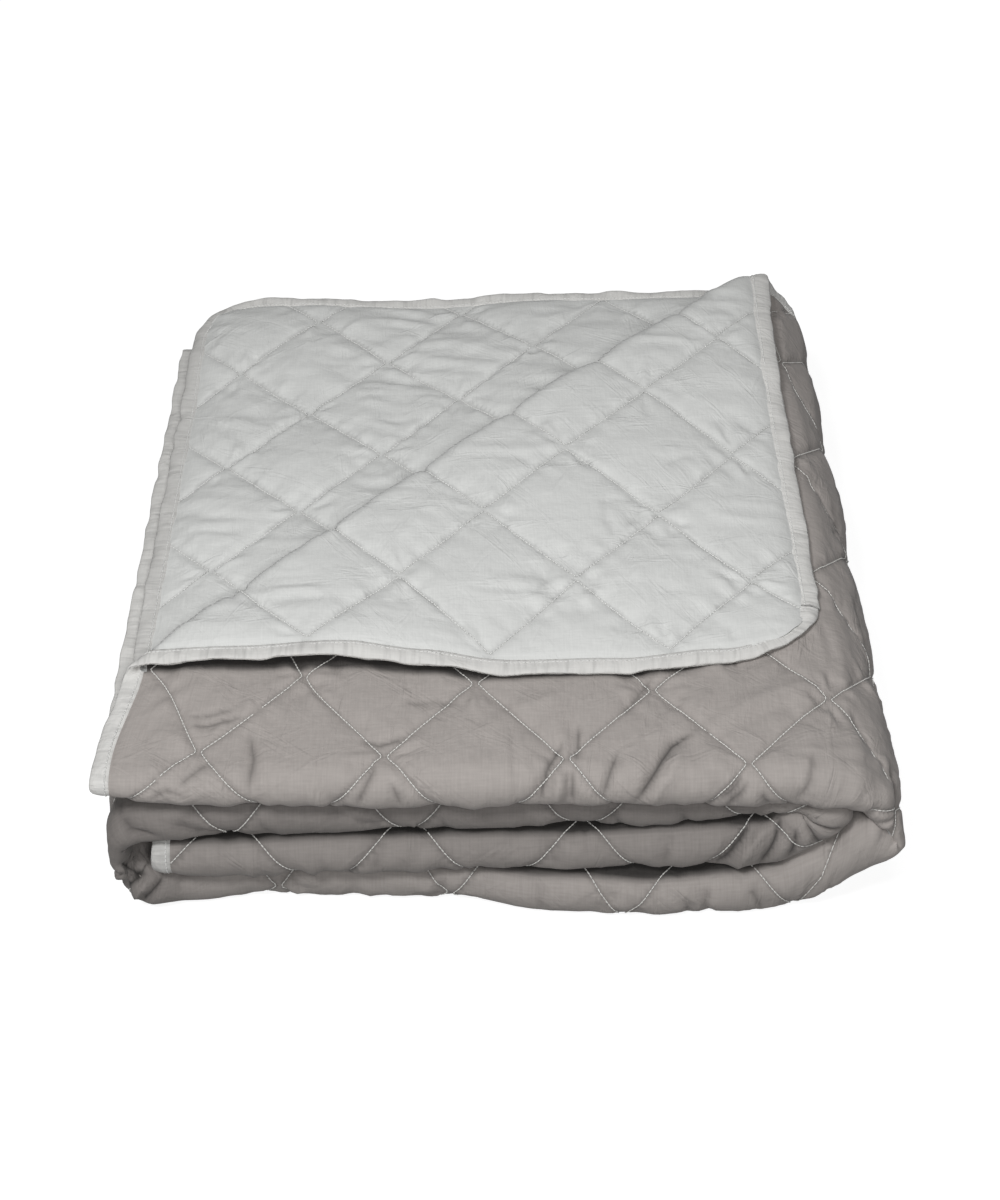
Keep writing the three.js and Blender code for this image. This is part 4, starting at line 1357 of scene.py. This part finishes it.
def faceShows(u, v):
    s = stitched
    onTop = (v < layerEnd["outerBend"] + s["outerBend"]) & (u < turnEnd + s["turn"])
    onTop &= (creaseDistance(u, v) > 0) & ((v > s["hiddenV"]) | (u > s["hiddenU"]))
    left, right, front = s["turnWindow"]
    onTop |= (v < front) & (u > left) & (u < right)
    atLip = (v > layerEnd["top"] - s["lipFrom"]) & (v < layerEnd["outerBend"] + s["lipTo"])
    left, right, front = s["crumpled"]  # the left turn has no stitches where it is crumpled
    atLip &= (u < left) | (u > right) | (v < front)
    return onTop | atLip | (v > layerEnd["bottom"] - s["back"]) & (v < layerEnd["backBend"] + s["back"])


def reverseShows(u, v):
    behind = v - layerEnd["innerBend"]
    onFlap = (v < layerEnd["top"]) & (creaseDistance(u, v) < stitched["overCrease"])
    under = (behind > stitched["innerBend"]) & (u < behind + stitched["underCorner"])
    return (onFlap | under) & (u < topColumnEnd)


def tapePoint(u, v, side, height):
    def work(us, vs):
        lift = binding["half"] * stitch["tapeHeight"] + height
        return foldedPoint(us, vs) + faceNormal(us, vs) * side * lift
    return inBlocks(work, u, v)


makeStitches("faceSeams", seamRuns(faceShows), 1, seamThread, surfacePoint)
makeStitches("reverseSeams", seamRuns(reverseShows), -1, paleThread, surfacePoint)
tapeRun = outlineRun(stitch["tapeEdge"], np.arange(0, outlineLength(), stitch["tapeStep"]))
makeStitches("bindingSeamOnFace", [tapeRun], 1, paleThread, tapePoint)
makeStitches("bindingSeamOnReverse", [tapeRun], -1, paleThread, tapePoint)

# Floor, light and camera.
studio = {  # lengths in metres
    "floorSize": 12.0, "floorColour": "#a4a4a4", "floorRoughness": 0.95,
    "glow": 0.84, "farGlow": 1.0, "glowFrom": 0.8, "glowTo": 2.2,
    "seenLight": 1.0, "roomLight": 0.09,  # the background as the camera sees it, and what it gives
    "lamps": (  # each with its name, place, target, size and watts
        ("keyLamp", (-0.6, -1.2, 2.18), (0, 0, 0.1), 0.45, 28),
        ("overheadLamp", (0.1, -0.45, 2.2), (0, 0, 0.1), 0.45, 5.5),
        ("frontLamp", (0.25, -1.7, 1.65), (0, 0, 0.1), 0.5, 15.5),
        ("backLamp", (0.5, 2.3, 1.1), (0, 0.1, 0.1), 0.8, 3),
    ),
    "lens": 60, "sensor": 36, "tilt": 45,
    "cameraPlace": (0.0, -1.0361, 1.2785),  # before the model's shift
}

bpy.ops.object.select_all(action="DESELECT")
bpy.ops.mesh.primitive_plane_add(size=studio["floorSize"], location=(0, 0, 0))
floor = bpy.context.object
floor.name = "studioFloor"
# White studio floor: quite matt, so that it shows soft shadows and no reflections. The camera sees
# it a little brighter further away, as it turns into the white background.
floorMaterial, floorTree, floorShader = newMaterial("white studio floor")
floorShader.inputs["Base Color"].default_value = linear(studio["floorColour"])
floorShader.inputs["Roughness"].default_value = studio["floorRoughness"]
floorShader.inputs["Specular IOR Level"].default_value = 0.0
seen = addNode(floorTree, "ShaderNodeLightPath", {}, "Is Camera Ray")
place = addNode(floorTree, "ShaderNodeTexCoord", {}, "Object")
away = addNode(floorTree, "ShaderNodeVectorMath", {"operation": "LENGTH", 0: place}, "Value")
level = addNode(floorTree, "ShaderNodeMapRange", {
    "Value": away, "From Min": studio["glowFrom"], "From Max": studio["glowTo"],
    "To Min": studio["glow"], "To Max": studio["farGlow"],
})
glow = addNode(floorTree, "ShaderNodeMath", {"operation": "MULTIPLY", 0: seen, 1: level})
floorShader.inputs["Emission Color"].default_value = (1, 1, 1, 1)
floorTree.links.new(glow, floorShader.inputs["Emission Strength"])
floor.data.materials.append(floorMaterial)

world = bpy.data.worlds.new("studio")
bpy.context.scene.world = world
world.use_nodes = True
background = world.node_tree.nodes["Background"]
seen = addNode(world.node_tree, "ShaderNodeLightPath", {}, "Is Camera Ray")
strength = addNode(world.node_tree, "ShaderNodeMath", {
    "operation": "MULTIPLY_ADD",
    0: seen, 1: studio["seenLight"] - studio["roomLight"], 2: studio["roomLight"],
})
world.node_tree.links.new(strength, background.inputs["Strength"])
background.inputs["Color"].default_value = (1, 1, 1, 1)

for name, place, target, size, watts in studio["lamps"]:
    lamp = bpy.data.lights.new(name, "AREA")
    lamp.shape = "RECTANGLE"
    lamp.size = size
    lamp.size_y = size
    lamp.energy = watts
    holder = bpy.data.objects.new(name, lamp)
    bpy.context.scene.collection.objects.link(holder)
    holder.location = place
    holder.rotation_euler = (Vector(target) - Vector(place)).to_track_quat("-Z", "Y").to_euler()

camera = bpy.data.cameras.new("camera")
camera.lens = studio["lens"]
camera.sensor_width = studio["sensor"]
cameraHolder = bpy.data.objects.new("camera", camera)
bpy.context.scene.collection.objects.link(cameraHolder)
cameraHolder.location = Vector(studio["cameraPlace"]) + Vector(quilt["modelShift"]) * millimetre
cameraHolder.rotation_euler = (math.radians(studio["tilt"]), 0, 0)
bpy.context.scene.camera = cameraHolder
bpy.context.scene.view_settings.view_transform = "Standard"
print("studio ready")
